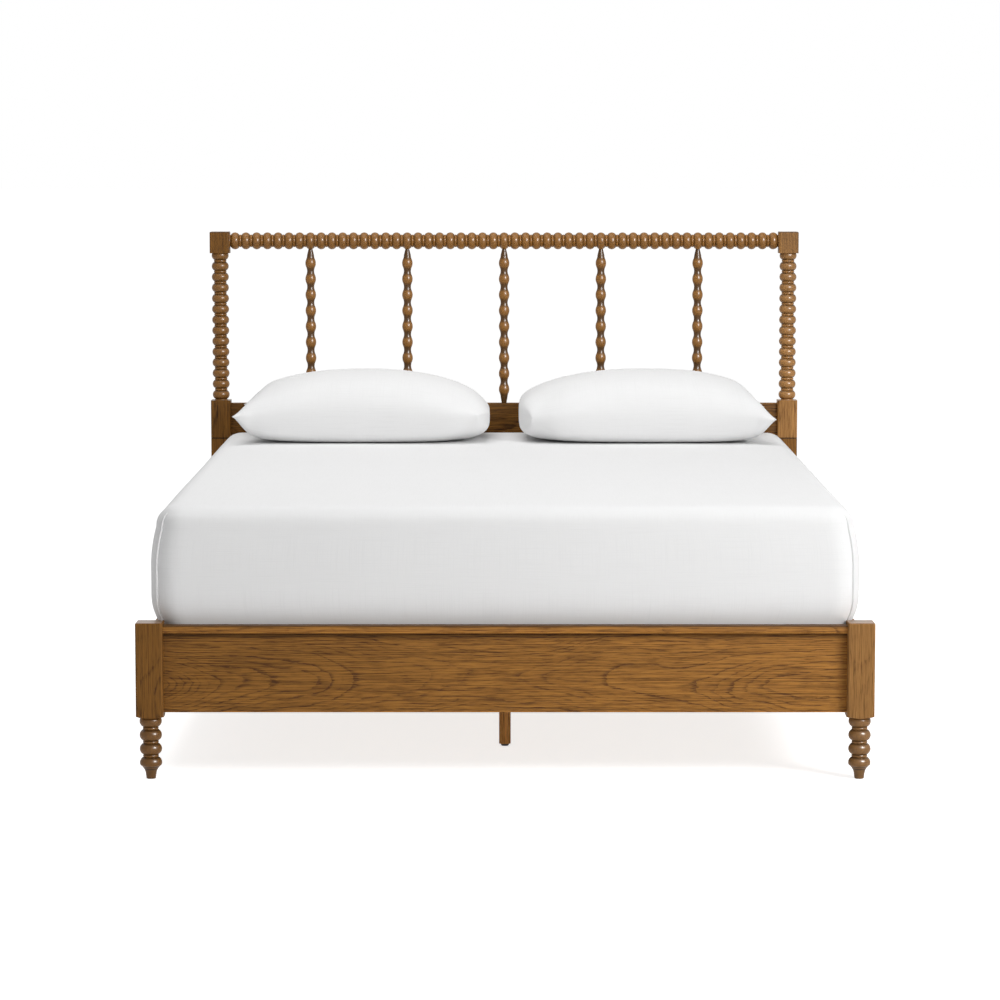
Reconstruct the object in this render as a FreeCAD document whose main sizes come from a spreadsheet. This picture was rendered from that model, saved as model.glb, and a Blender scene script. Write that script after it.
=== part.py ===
import FreeCAD, Part
import math
import os
from types import SimpleNamespace

import Sketcher

# A queen bed with spool-turned posts, a spindle headboard, a slatted base, a mattress and two pillows.
# Millimetres. The origin is on the floor below the middle of the bed. Seen from the foot of the bed,
# x runs to the right, y runs away towards the headboard and z runs up.

SIZES = {
    # the whole bed
    "bed_width": 1626,
    "bed_length": 2134,
    "headboard_height": 1152.5,
    # posts and legs
    "head_post_side": 54,
    "foot_post_side": 60,
    "foot_post_height": 349.5,
    "post_corner_round": 4,
    "post_top_round": 3,
    "leg_height": 138,
    "leg_bead_units": 3,
    "leg_bead_pitch": 30.8,
    "leg_bead_radius": 24.6,
    "leg_bead_hidden": 5.8,
    "shoulder_rise": 4.5,
    "headboard_seat_height": 581.5,
    "lower_block_height": 105,
    "top_block_height": 59,
    "post_bead_hidden": 8,
    "seat_edge_round": 1.2,
    # spool turning
    "bead_pitch": 29.3,
    "bead_radius": 23.5,
    "ring_radius": 17.5,
    "ring_width": 5.4,
    "groove_radius": 16,
    "foot_tip_radius": 10.6,
    "foot_tip_round": 2,
    "foot_neck_radius": 11.9,
    "foot_neck_height": 12,
    "foot_hollow_radius": 28,
    "foot_bead_drop": 5,
    "top_rail_rise": 4,
    "rail_tenon_radius": 12,
    "rail_tenon_length": 25,
    # spindles
    "spindle_count": 5,
    "spindle_step_bead_count": 9,
    "spindle_pitch": 43.7,
    "spindle_bulge_radius": 14.6,
    "spindle_neck_radius": 9.7,
    "spindle_top_radius": 5.8,
    "spindle_foot_radius": 6.8,
    "spindle_tenon_radius": 5,
    "spindle_tenon_length": 12,
    "spindle_top_taper": 16.3,
    # boards
    "board_thickness": 22,
    "rail_height": 177,
    "rail_bottom": 148.5,
    "rail_recess": 22,
    "cap_thickness": 17,
    "cap_overhang": 12,
    "cap_round": 4,
    "panel_lift": 6,
    "panel_height": 90.5,
    "board_edge_round": 2,
    "tenon_length": 20,
    "tenon_thickness": 12,
    "tenon_inset": 27,
    # fits
    "joint_clearance": 0.2,
    "blind_clearance": 1,
    "soft_clearance": 0.3,
    # slatted base
    "slat_top_height": 298.5,
    "slat_thickness": 18,
    "slat_width": 90,
    "slat_count": 12,
    "slat_end_clearance": 2,
    "slat_row_margin": 7,
    "slat_edge_round": 3,
    "ledger_width": 25,
    "ledger_height": 35,
    "ledger_end_gap": 4,
    "ledger_screw_count": 7,
    "ledger_screw_margin": 80,
    "strap_width": 25,
    "strap_thickness": 1.2,
    "strap_position": 480,
    # centre beam and its legs
    "beam_width": 45,
    "beam_height": 70,
    "beam_end_gap": 1,
    "hanger_thickness": 2,
    "hanger_depth": 40,
    "hanger_cheek_height": 50,
    "hanger_flange": 22,
    "center_leg_side": 27,
    "center_leg_bevel": 6,
    "center_leg_spread": 612,
    "center_leg_tenon_radius": 8,
    "center_leg_tenon_length": 35,
    # levellers
    "leveler_pad_radius": 9,
    "leveler_pad_thickness": 5.2,
    "leveler_pad_round": 1.2,
    "leveler_seat_gap": 0.3,
    "stud_radius": 4,
    "stud_length": 37,
    "stud_socket_depth": 2.2,
    "stud_socket_radius": 4.06,
    "insert_radius": 6,
    "insert_length": 20,
    "insert_bore_radius": 4.05,
    # hook plates, slotted plates and joining plates
    "plate_width": 14,
    "plate_height": 140,
    "plate_thickness": 3,
    "hook_spacing": 60,
    "hook_thickness": 3,
    "hook_neck_height": 18,
    "hook_tooth_drop": 8,
    "hook_tooth_depth": 4,
    "slot_clearance": 0.4,
    "slot_height": 27,
    "pocket_width": 9,
    "pocket_height": 104,
    "pocket_depth": 12,
    "hook_screw_offset": 50,
    "slot_screw_offset": 62,
    "joining_plate_width": 30,
    "joining_screw_near": 20,
    "joining_screw_far": 50,
    # fasteners
    "screw_radius": 2,
    "screw_head_radius": 4,
    "screw_head_height": 2.4,
    "long_screw": 38,
    "short_screw": 18,
    "dowel_radius": 5,
    "dowel_length": 50,
    "dowel_spread": 14,
    # mattress and fitted sheet
    "mattress_thickness": 303,
    "mattress_side_gap": 6,
    "mattress_foot_gap": 2,
    "mattress_head_gap": 2,
    "mattress_corner_round": 62,
    "mattress_edge_round": 44,
    "mattress_base_round": 14,
    "mattress_side_bulge": 22,
    "mattress_foot_bulge": 12,
    "mattress_bulge_rise": 70,
    "mattress_bulge_fall": 87,
    "mattress_shoulder_share": 0.45,
    "mattress_crown": 3,
    "mattress_crown_inset": 70,
    "mattress_casing": 16,
    "sheet_thickness": 1,
    # pillows
    "pillow_side_gap": 38,
    "pillow_middle_gap": 78,
    "pillow_depth": 448,
    "pillow_thickness": 182,
    "pillow_seam_height": 84,
    "pillow_drawn_in": 12,
    "pillow_swell": 18,
    "pillow_contact_share": 0.64,
    "pillow_crown_share": 0.3,
    "pillow_head_gap": 40,
    "pillowcase_thickness": 1.2,
    "pillow_ticking": 3,
}


class Size:
    """A length with both its number and the spreadsheet formula that gives it."""

    def __init__(self, number, formula=None):
        self.number = float(number)
        self.formula = formula or repr(float(number))

    def joined(self, sign, other, number):
        return Size(number, f"({self.formula} {sign} {other.formula})")

    def __add__(self, other):
        other = size(other)
        return self.joined("+", other, self.number + other.number)

    def __sub__(self, other):
        other = size(other)
        return self.joined("-", other, self.number - other.number)

    def __mul__(self, other):
        other = size(other)
        return self.joined("*", other, self.number * other.number)

    def __truediv__(self, other):
        other = size(other)
        return self.joined("/", other, self.number / other.number)

    def __radd__(self, other):
        return size(other) + self

    def __rsub__(self, other):
        return size(other) - self

    def __rmul__(self, other):
        return size(other) * self

    def __neg__(self):
        return self * -1

    def __float__(self):
        return self.number


def size(value):
    return value if isinstance(value, Size) else Size(value)


def root(value):
    return Size(math.sqrt(value.number), f"sqrt({value.formula})")


def whole(value):
    """The whole number below a ratio of two lengths."""
    return Size(math.floor(value.number), f"floor({value.formula})")


def arc_radius(half_chord, rise):
    return (half_chord * half_chord + rise * rise) / (rise * 2)


def fill_sheet(doc):
    """Writes every driving size to the sheet, under its own name."""
    sheet = doc.addObject("Spreadsheet::Sheet", "Dims")
    for row_number, (name, value) in enumerate(SIZES.items(), 1):
        sheet.set(f"A{row_number}", name)
        sheet.set(f"B{row_number}", str(value))
        sheet.setAlias(f"B{row_number}", name)
    doc.recompute()
    return SimpleNamespace(**{name: Size(sheet.get(name), f"Dims.{name}") for name in SIZES})


doc = FreeCAD.newDocument("spool_bed")
D = fill_sheet(doc)

# Places that several pieces share

half_width = D.bed_width / 2
foot_face = D.bed_length / -2
head_face = D.bed_length / 2
foot_post_x = half_width - D.foot_post_side / 2
foot_post_y = foot_face + D.foot_post_side / 2
head_post_x = half_width - D.head_post_side / 2
head_post_y = head_face - D.head_post_side / 2
foot_post_inner = half_width - D.foot_post_side
head_post_inner = half_width - D.head_post_side
rail_start = foot_face + D.foot_post_side
rail_end = head_face - D.head_post_side
rail_outer = half_width - D.rail_recess
rail_inner = rail_outer - D.board_thickness
rail_middle = (rail_outer + rail_inner) / 2
rail_top = D.rail_bottom + D.rail_height
rail_mid_height = D.rail_bottom + D.rail_height / 2
cap_top = rail_top + D.cap_thickness
foot_rail_front = foot_face + D.rail_recess
foot_rail_back = foot_rail_front + D.board_thickness
panel_front = head_post_y - D.board_thickness / 2
panel_back = head_post_y + D.board_thickness / 2
panel_bottom = D.headboard_seat_height + D.panel_lift
panel_top = panel_bottom + D.panel_height
spool_bottom = D.headboard_seat_height + D.lower_block_height
spool_top = D.headboard_height - D.top_block_height
top_rail_height = D.headboard_height - D.top_block_height / 2 + D.top_rail_rise
top_rail_length = head_post_inner * 2
top_rail_beads = whole(top_rail_length / D.bead_pitch / 2) * 2 + 1
top_rail_pitch = top_rail_length / top_rail_beads
slat_bottom = D.slat_top_height - D.slat_thickness
beam_bottom = slat_bottom - D.beam_height
center_leg_bottom = D.leveler_pad_thickness + D.leveler_seat_gap
tenon_half = D.tenon_thickness / 2
mattress_half = rail_inner - D.mattress_side_gap
mattress_front = foot_rail_back + D.mattress_foot_gap
mattress_back = rail_end - D.mattress_head_gap
pillow_width = mattress_half - D.pillow_side_gap - D.pillow_middle_gap / 2
LEFT, RIGHT = -1, 1
SIDE_NAMES = {LEFT: "left", RIGHT: "right"}
pieces = []

# Ways to make a piece

TURNS = {
    "+x": FreeCAD.Rotation(FreeCAD.Vector(0, 1, 0), 90),
    "-x": FreeCAD.Rotation(FreeCAD.Vector(0, 1, 0), -90),
    "+y": FreeCAD.Rotation(FreeCAD.Vector(1, 0, 0), -90),
    "-y": FreeCAD.Rotation(FreeCAD.Vector(1, 0, 0), 90),
    "+z": FreeCAD.Rotation(),
}


def bind(item, name, value):
    item.setExpression(name, size(value).formula)


def bind_place(item, place):
    for axis, value in zip("xyz", place):
        bind(item, "Placement.Base." + axis, value)


def new_body(name):
    body = doc.addObject("PartDesign::Body", name)
    body.Label = name
    return body


def keep(piece):
    """Notes an object as one of the pieces that the bed is made of."""
    pieces.append(piece)
    return piece


def block(body, name, low, high, cut=False):
    """A box between two opposite corners, added to a body or cut out of it."""
    kind = "PartDesign::SubtractiveBox" if cut else "PartDesign::AdditiveBox"
    feature = body.newObject(kind, name)
    for side, start, end in zip(("Length", "Width", "Height"), low, high):
        bind(feature, side, end - start)
    bind_place(feature, low)
    return feature


def rod(body, name, start, way, radius, length, cut=False):
    """A cylinder from a start point along one of the axes."""
    kind = "PartDesign::SubtractiveCylinder" if cut else "PartDesign::AdditiveCylinder"
    feature = body.newObject(kind, name)
    feature.Placement = FreeCAD.Placement(FreeCAD.Vector(), TURNS[way])
    bind_place(feature, start)
    bind(feature, "Radius", radius)
    bind(feature, "Height", length)
    return feature


def screw_hole(body, head, way, length, sunk):
    """A clear way for one screw, with a countersink where its head sits in this piece."""
    rod(body, "screw_way", head, way, D.screw_radius + D.joint_clearance / 2, length, cut=True)
    if sunk:
        sink = body.newObject("PartDesign::SubtractiveCone", "countersink")
        sink.Placement = FreeCAD.Placement(FreeCAD.Vector(), TURNS[way])
        bind_place(sink, head)
        bind(sink, "Radius1", D.screw_head_radius + D.joint_clearance / 2)
        bind(sink, "Radius2", D.screw_radius + D.joint_clearance / 2)
        bind(sink, "Height", D.screw_head_height)


def dress_edges(body, kind, value, wanted):
    """Rounds or bevels the edges of a body that a test picks out."""
    doc.recompute()
    base = body.Tip
    names = [f"Edge{i}" for i, edge in enumerate(base.Shape.Edges, 1) if wanted(edge)]
    feature = body.newObject("PartDesign::" + kind, kind.lower())
    feature.Base = (base, names)
    bind(feature, "Radius" if kind == "Fillet" else "Size", value)
    body.Tip = feature
    return feature


def edge_along(axis, test=lambda middle: True):
    """A test for straight edges that run along an axis, and whose middle passes a further test."""
    def wanted(edge):
        if edge.Curve.TypeId != "Part::GeomLine":
            return False
        start, end = (vertex.Point for vertex in (edge.Vertexes[0], edge.Vertexes[-1]))
        run = end - start
        across = [abs(getattr(run, other)) for other in "xyz" if other != axis]
        return max(across) < 1e-6 and test((start + end) * 0.5)
    return wanted


def axis_plane(body, role):
    return next(item for item in body.Origin.OriginFeatures if item.Role == role)


def profile_edge(here, there, radius):
    """A line, or an arc that bulges away from the turning axis (towards it for a negative radius)."""
    if radius is None:
        return Part.LineSegment(here, there)
    run = there - here
    reach = abs(float(radius))
    rise = reach - math.sqrt(max(reach * reach - run.Length * run.Length / 4, 0))
    out = FreeCAD.Vector(run.y, -run.x, 0).normalize()
    middle = (here + there) * 0.5 + out * math.copysign(rise, float(radius))
    return Part.Arc(here, middle, there)


def pin_corner(sketch, edge, end, corner):
    """Ties one corner of a profile to its radius and height."""
    for kind, axis, value in (("DistanceX", -2, corner[0]), ("DistanceY", -1, corner[1])):
        value = size(value)
        if abs(value.number) < 1e-9:
            sketch.addConstraint(Sketcher.Constraint("PointOnObject", edge, end, axis))
            continue
        index = sketch.addConstraint(Sketcher.Constraint(kind, -1, 1, edge, end, value.number))
        bind(sketch, f"Constraints[{index}]", value)


def profile_sketch(body, path):
    """A closed profile of (radius, height, radius of the arc that arrives here or None)."""
    sketch = body.newObject("Sketcher::SketchObject", "profile")
    sketch.AttachmentSupport = [(axis_plane(body, "XZ_Plane"), "")]
    sketch.MapMode = "FlatFace"
    corners = [FreeCAD.Vector(float(corner[0]), float(corner[1]), 0) for corner in path]
    ends = []
    for i, here in enumerate(corners):
        after = (i + 1) % len(path)
        edge = sketch.addGeometry(profile_edge(here, corners[after], path[after][2]), False)
        forward = sketch.getPoint(edge, 1).distanceToPoint(here) < 1e-6
        ends.append((1, 2) if forward else (2, 1))
        pin_corner(sketch, edge, ends[i][0], path[i])
        if path[after][2] is not None:
            reach = path[after][2] if float(path[after][2]) > 0 else -path[after][2]
            index = sketch.addConstraint(Sketcher.Constraint("Radius", edge, float(reach)))
            bind(sketch, f"Constraints[{index}]", reach)
    for i in range(len(path)):
        after = (i + 1) % len(path)
        sketch.addConstraint(Sketcher.Constraint("Coincident", i, ends[i][1], after, ends[after][0]))
    return sketch


def turned(body, name, path, cut=False):
    """A profile turned about the body's own z axis."""
    sketch = profile_sketch(body, path)
    feature = body.newObject("PartDesign::Groove" if cut else "PartDesign::Revolution", name)
    feature.Profile = (sketch, [""])
    feature.ReferenceAxis = (sketch, ["V_Axis"])
    feature.Angle = 360
    return sketch, feature


def turned_row(body, name, path, pitch, count):
    """One turned unit, repeated along the axis."""
    sketch, unit = turned(body, name, path)
    doc.recompute()
    pattern = body.newObject("PartDesign::LinearPattern", name + "_row")
    pattern.Originals = [unit]
    pattern.Direction = (sketch, ["V_Axis"])
    bind(pattern, "Length", pitch * (count - 1))
    bind(pattern, "Occurrences", count)
    body.Tip = pattern
    return pattern


def group(name, members):
    compound = doc.addObject("Part::Compound", name)
    compound.Label = name
    compound.Links = members
    return keep(compound)


# Turned and square parts of the posts


def bead_arc(pitch, radius):
    return arc_radius((pitch - D.ring_width) / 2, radius - D.groove_radius)


def ring_arc():
    return arc_radius(D.ring_width / 2, D.ring_radius - D.groove_radius)


def spool_row(body, start, pitch, count, radius):
    """Beads with a thin ring between each two; every unit starts and ends in the middle of a ring."""
    bead_start = start + D.ring_width / 2
    bead_end = start + pitch - D.ring_width / 2
    path = [
        (0, start, None),
        (D.ring_radius, start, None),
        (D.groove_radius, bead_start, ring_arc()),
        (D.groove_radius, bead_end, bead_arc(pitch, radius)),
        (D.ring_radius, start + pitch, ring_arc()),
        (0, start + pitch, None),
    ]
    return turned_row(body, "bead", path, pitch, count)


def foot_tip(body, top):
    """The lowest bead of a leg, hollowed below into a slim neck that ends on the floor."""
    reach = bead_arc(D.leg_bead_pitch, D.leg_bead_radius)
    middle = top - D.leg_bead_pitch / 2
    flank = D.leg_bead_radius - reach + root(reach * reach - D.foot_bead_drop * D.foot_bead_drop)
    path = [
        (0, 0, None),
        (D.foot_tip_radius - D.foot_tip_round, 0, None),
        (D.foot_tip_radius, D.foot_tip_round, D.foot_tip_round),
        (D.foot_neck_radius, D.foot_neck_height, None),
        (flank, middle - D.foot_bead_drop, -D.foot_hollow_radius),
        (D.groove_radius, top - D.ring_width / 2, reach),
        (D.ring_radius, top, ring_arc()),
        (0, top, None),
    ]
    turned(body, "foot_tip", path)


def turned_leg(body):
    """The turned leg below a square block, which hides the top of the first bead."""
    tip_top = D.leg_height + D.leg_bead_hidden - D.leg_bead_pitch * D.leg_bead_units
    spool_row(body, tip_top, D.leg_bead_pitch, D.leg_bead_units, D.leg_bead_radius)
    foot_tip(body, tip_top)


def square_block(body, side, low, high):
    """A square length of post with eased corners."""
    half = side / 2
    block(body, "square", (-half, -half, low), (half, half, high))
    dress_edges(body, "Fillet", D.post_corner_round, edge_along("z", lambda middle: (
        float(low) < middle.z < float(high) and min(abs(middle.x), abs(middle.y)) > float(half) - 1e-6
    )))


def turned_shoulder(body, side, low):
    """The rounded shoulder that a lathe leaves where a square block runs into turned work."""
    face = side / 2
    corner = face * 1.42
    turned(body, "shoulder", [
        (face, low, None),
        (corner, low, None),
        (corner, low + D.shoulder_rise, None),
    ], cut=True)


def ease_end(body, side, height, radius):
    """Rounds the edges around the top or the bottom of a square block."""
    half = float(side / 2)
    level = float(height)
    dress_edges(body, "Fillet", radius, lambda edge: (
        abs(edge.BoundBox.ZMin - level) < 1e-3 and abs(edge.BoundBox.ZMax - level) < 1e-3
        and max(edge.BoundBox.XMax, -edge.BoundBox.XMin, edge.BoundBox.YMax, -edge.BoundBox.YMin) > half - 5
    ))


def board_mortise(body, side, inner, y_middle, low, high):
    """The mortise for a board's tenon, in a post's own frame; the tenon comes in from the bed's middle."""
    gap = D.joint_clearance
    deep = D.tenon_length + D.blind_clearance
    x_low, x_high = (inner, inner + deep) if side > 0 else (-inner - deep, -inner)
    block(
        body, "mortise",
        (x_low, y_middle - tenon_half - gap, low + D.tenon_inset - gap),
        (x_high, y_middle + tenon_half + gap, high - D.tenon_inset + gap),
        cut=True,
    )


def slot_plate_seat(body, x_middle, face, inward):
    """The recess for a slotted plate in a post, the pocket for its hooks and its two screw holes."""
    gap = D.joint_clearance / 2
    for name, width, height, near, far in (
        ("plate_recess", D.plate_width + gap * 2, D.plate_height + gap * 2, size(0), D.plate_thickness),
        ("hook_pocket", D.pocket_width, D.pocket_height, size(0), D.plate_thickness + D.pocket_depth),
    ):
        y_low, y_high = (face - far, face + near) if inward < 0 else (face - near, face + far)
        low = (x_middle - width / 2, y_low, rail_mid_height - height / 2)
        high = (x_middle + width / 2, y_high, rail_mid_height + height / 2)
        block(body, name, low, high, cut=True)
    way = "-y" if inward < 0 else "+y"
    for offset in (-D.slot_screw_offset, D.slot_screw_offset):
        screw_hole(body, (x_middle, face, rail_mid_height + offset), way, D.short_screw, sunk=False)


def joining_plate_seat(body, low, high):
    """The recess in the back of a head post or leg for a joining plate."""
    back = D.head_post_side / 2
    half = D.joining_plate_width / 2 + D.joint_clearance / 2
    block(body, "plate_recess", (-half, back - D.plate_thickness, low), (half, back, high), cut=True)


def dowel_holes(body, start):
    length = D.dowel_length / 2 + D.blind_clearance / 2
    for offset in (-D.dowel_spread, D.dowel_spread):
        rod(body, "dowel_hole", (offset, 0, start), "+z", D.dowel_radius + D.joint_clearance, length, cut=True)


# Posts and legs


def foot_post(side):
    body = new_body("foot_post_" + SIDE_NAMES[side])
    square_block(body, D.foot_post_side, D.leg_height, D.foot_post_height)
    turned_shoulder(body, D.foot_post_side, D.leg_height)
    ease_end(body, D.foot_post_side, D.foot_post_height, D.post_top_round)
    turned_leg(body)
    inner = foot_post_inner - foot_post_x
    y_middle = (foot_rail_front + foot_rail_back) / 2 - foot_post_y
    board_mortise(body, side, inner, y_middle, D.rail_bottom, rail_top)
    slot_plate_seat(body, (rail_middle - foot_post_x) * side, D.foot_post_side / 2, -1)
    bind_place(body, (foot_post_x * side, foot_post_y, 0))
    return keep(body)


def head_leg(side):
    body = new_body("head_leg_" + SIDE_NAMES[side])
    seat = D.headboard_seat_height
    square_block(body, D.head_post_side, D.leg_height, seat)
    ease_end(body, D.head_post_side, seat, D.seat_edge_round)
    turned_shoulder(body, D.head_post_side, D.leg_height)
    turned_leg(body)
    inner = head_post_inner - head_post_x
    board_mortise(body, side, inner, size(0), D.rail_bottom, cap_top)
    slot_plate_seat(body, (rail_middle - head_post_x) * side, D.head_post_side / -2, 1)
    joining_plate_seat(body, seat - D.plate_height / 2, seat)
    for offset in (D.joining_screw_near, D.joining_screw_far):
        screw_hole(body, (0, D.head_post_side / 2, seat - offset), "-y", D.short_screw, sunk=False)
    dowel_holes(body, seat - D.dowel_length / 2 - D.blind_clearance / 2)
    bind_place(body, (head_post_x * side, head_post_y, 0))
    return keep(body)


def head_post(side):
    """A post of two square blocks and a row of beads, whose highest one is partly inside the top block."""
    body = new_body("head_post_" + SIDE_NAMES[side])
    seat = D.headboard_seat_height
    spool_length = spool_top + D.post_bead_hidden - spool_bottom
    beads = whole(spool_length / D.bead_pitch + 0.5)
    square_block(body, D.head_post_side, seat, spool_bottom)
    ease_end(body, D.head_post_side, seat, D.seat_edge_round)
    spool_row(body, spool_bottom, spool_length / beads, beads, D.bead_radius)
    square_block(body, D.head_post_side, spool_top, D.headboard_height)
    ease_end(body, D.head_post_side, D.headboard_height, D.post_top_round)
    inner = head_post_inner - head_post_x
    board_mortise(body, side, inner, size(0), panel_bottom, panel_top)
    bore = D.rail_tenon_length + D.blind_clearance
    start = inner if side > 0 else -inner
    rod(body, "rail_bore", (start, 0, top_rail_height), "+x" if side > 0 else "-x",
        D.rail_tenon_radius + D.joint_clearance, bore, cut=True)
    joining_plate_seat(body, seat, seat + D.plate_height / 2)
    for offset in (D.joining_screw_near, D.joining_screw_far):
        screw_hole(body, (0, D.head_post_side / 2, seat + offset), "-y", D.short_screw, sunk=False)
    dowel_holes(body, seat)
    bind_place(body, (head_post_x * side, head_post_y, 0))
    return keep(body)


# Headboard


def spindle_places():
    """The x of each spindle; every one of them meets the top rail under the middle of a bead."""
    step = top_rail_pitch * D.spindle_step_bead_count
    count = int(D.spindle_count.number)
    return [step * (i - (count - 1) / 2) for i in range(count)]


def top_rail():
    """A spool-turned rail with a round tenon at each end, made upright and then laid along x."""
    body = new_body("headboard_top_rail")
    half = top_rail_length / 2
    spool_row(body, -half, top_rail_pitch, top_rail_beads, D.bead_radius)
    for start in (-half - D.rail_tenon_length, half):
        rod(body, "tenon", (0, 0, start), "+z", D.rail_tenon_radius, D.rail_tenon_length)
    hole_start = D.bead_radius - D.spindle_tenon_length - D.blind_clearance
    for place in spindle_places():
        rod(body, "spindle_hole", (hole_start, 0, place), "+x", D.spindle_top_radius + D.joint_clearance / 2,
            D.spindle_tenon_length + D.blind_clearance, cut=True)
    body.Placement = FreeCAD.Placement(FreeCAD.Vector(), TURNS["+x"])
    bind_place(body, (0, head_post_y, top_rail_height))
    return keep(body)


def spindle(number, place):
    """A row of bulges that tapers at both ends into tenons for the panel and the top rail."""
    body = new_body(f"spindle_{number}")
    foot = panel_top
    top = top_rail_height - D.bead_radius
    count = whole((top - foot - D.spindle_top_taper) / D.spindle_pitch)
    row_top = top - D.spindle_top_taper
    row_start = row_top - D.spindle_pitch * count
    quarter = D.spindle_pitch / 4
    swing = (D.spindle_bulge_radius - D.spindle_neck_radius) / 2
    reach = arc_radius(quarter, swing)
    middle_radius = D.spindle_neck_radius + swing
    neck = D.spindle_neck_radius
    turned_row(body, "bulge", [
        (0, row_start, None),
        (neck, row_start, None),
        (middle_radius, row_start + quarter, -reach),
        (middle_radius, row_start + quarter * 3, reach),
        (neck, row_start + quarter * 4, -reach),
        (0, row_start + quarter * 4, None),
    ], D.spindle_pitch, count)
    turned(body, "foot_taper", [
        (0, foot, None), (D.spindle_foot_radius, foot, None), (neck, row_start, None), (0, row_start, None),
    ])
    turned(body, "top_taper", [
        (0, row_top, None), (neck, row_top, None), (D.spindle_top_radius, top, None), (0, top, None),
    ])
    rod(body, "foot_tenon", (0, 0, foot - D.spindle_tenon_length), "+z", D.spindle_tenon_radius,
        D.spindle_tenon_length)
    rod(body, "top_tenon", (0, 0, top), "+z", D.spindle_top_radius, D.spindle_tenon_length)
    bind_place(body, (place, head_post_y, 0))
    return keep(body)


def tenoned_board(name, half, y_low, y_high, low, high):
    """A board across the bed with a tenon at each end."""
    body = new_body(name)
    block(body, "board", (-half, y_low, low), (half, y_high, high))
    dress_edges(body, "Fillet", D.board_edge_round, edge_along("x"))
    middle = (y_low + y_high) / 2
    for start, end in ((-half - D.tenon_length, -half), (half, half + D.tenon_length)):
        block(body, "tenon", (start, middle - tenon_half, low + D.tenon_inset),
              (end, middle + tenon_half, high - D.tenon_inset))
    return keep(body)


def headboard_panel():
    body = tenoned_board("headboard_panel", head_post_inner, panel_front, panel_back, panel_bottom, panel_top)
    for place in spindle_places():
        deep = D.spindle_tenon_length + D.blind_clearance
        rod(body, "spindle_hole", (place, head_post_y, panel_top - deep), "+z",
            D.spindle_tenon_radius + D.joint_clearance, deep, cut=True)


# Rails, the foot rail's cap and ledgers


def hanger_screw_places():
    """The x and height of the four screws that hold a beam hanger."""
    reach = D.beam_width / 2 + D.hanger_flange / 2 + D.hanger_thickness
    heights = [beam_bottom + D.hanger_cheek_height * share for share in (0.3, 0.8)]
    return [(x, z) for x in (-reach, reach) for z in heights]


def foot_rail():
    body = tenoned_board("foot_rail", foot_post_inner, foot_rail_front, foot_rail_back, D.rail_bottom, rail_top)
    for x, z in hanger_screw_places():
        screw_hole(body, (x, foot_rail_back + D.hanger_thickness, z), "-y", D.short_screw, sunk=False)


def head_cross_rail():
    body = tenoned_board("head_cross_rail", head_post_inner, panel_front, panel_back, D.rail_bottom, cap_top)
    for x, z in hanger_screw_places():
        screw_hole(body, (x, panel_front - D.hanger_thickness, z), "+y", D.short_screw, sunk=False)


def foot_cap():
    """A strip on top of the foot rail, with all four long edges rounded."""
    body = new_body("foot_rail_cap")
    front = foot_rail_front - D.cap_overhang
    block(body, "strip", (-foot_post_inner, front, rail_top), (foot_post_inner, foot_rail_back, cap_top))
    dress_edges(body, "Fillet", D.cap_round, edge_along("x"))
    return keep(body)


def side_span(side, inner, outer):
    """Two x positions on one side of the bed, smaller first."""
    return (inner, outer) if side > 0 else (-outer, -inner)


def ledger_screw_places():
    count = int(D.ledger_screw_count.number)
    first = rail_start + D.ledger_screw_margin
    step = (rail_end - D.ledger_screw_margin - first) / (count - 1)
    return [first + step * i for i in range(count)]


def ledger_screw_holes(body, side, sunk):
    inner = rail_inner - D.ledger_width
    height = slat_bottom - D.ledger_height / 2
    way = "+x" if side > 0 else "-x"
    for place in ledger_screw_places():
        screw_hole(body, (inner * side, place, height), way, D.long_screw, sunk)


def side_rail(side):
    body = new_body("side_rail_" + SIDE_NAMES[side])
    x_low, x_high = side_span(side, rail_inner, rail_outer)
    block(body, "board", (x_low, rail_start, D.rail_bottom), (x_high, rail_end, rail_top))
    dress_edges(body, "Fillet", D.board_edge_round, edge_along("y"))
    gap = D.joint_clearance / 2
    half = D.plate_width / 2 + gap
    middle = rail_middle * side
    tall = D.plate_height / 2 + gap
    for end, inward, way in ((rail_start, 1, "+y"), (rail_end, -1, "-y")):
        depth = end + D.plate_thickness * inward
        y_low, y_high = (end, depth) if inward > 0 else (depth, end)
        block(body, "plate_recess", (middle - half, y_low, rail_mid_height - tall),
              (middle + half, y_high, rail_mid_height + tall), cut=True)
        for offset in (-D.hook_screw_offset, D.hook_screw_offset):
            screw_hole(body, (middle, end, rail_mid_height + offset), way, D.long_screw, sunk=False)
    ledger_screw_holes(body, side, sunk=False)
    return keep(body)


def ledger(side):
    body = new_body("ledger_" + SIDE_NAMES[side])
    x_low, x_high = side_span(side, rail_inner - D.ledger_width, rail_inner)
    block(body, "strip", (x_low, rail_start + D.ledger_end_gap, slat_bottom - D.ledger_height),
          (x_high, rail_end - D.ledger_end_gap, slat_bottom))
    ledger_screw_holes(body, side, sunk=True)
    return keep(body)


# Slats, straps, centre beam and its hangers


def slat_places():
    count = int(D.slat_count.number)
    first = rail_start + D.slat_row_margin + D.slat_width / 2
    last = rail_end - D.slat_row_margin - D.slat_width / 2
    return [first + (last - first) * (i / (count - 1)) for i in range(count)]


def slat(number, place):
    body = new_body(f"slat_{number:02d}")
    half = rail_inner - D.slat_end_clearance
    block(body, "board", (-half, place - D.slat_width / 2, slat_bottom),
          (half, place + D.slat_width / 2, D.slat_top_height))
    dress_edges(body, "Fillet", D.slat_edge_round, edge_along("x"))
    return keep(body)


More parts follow.
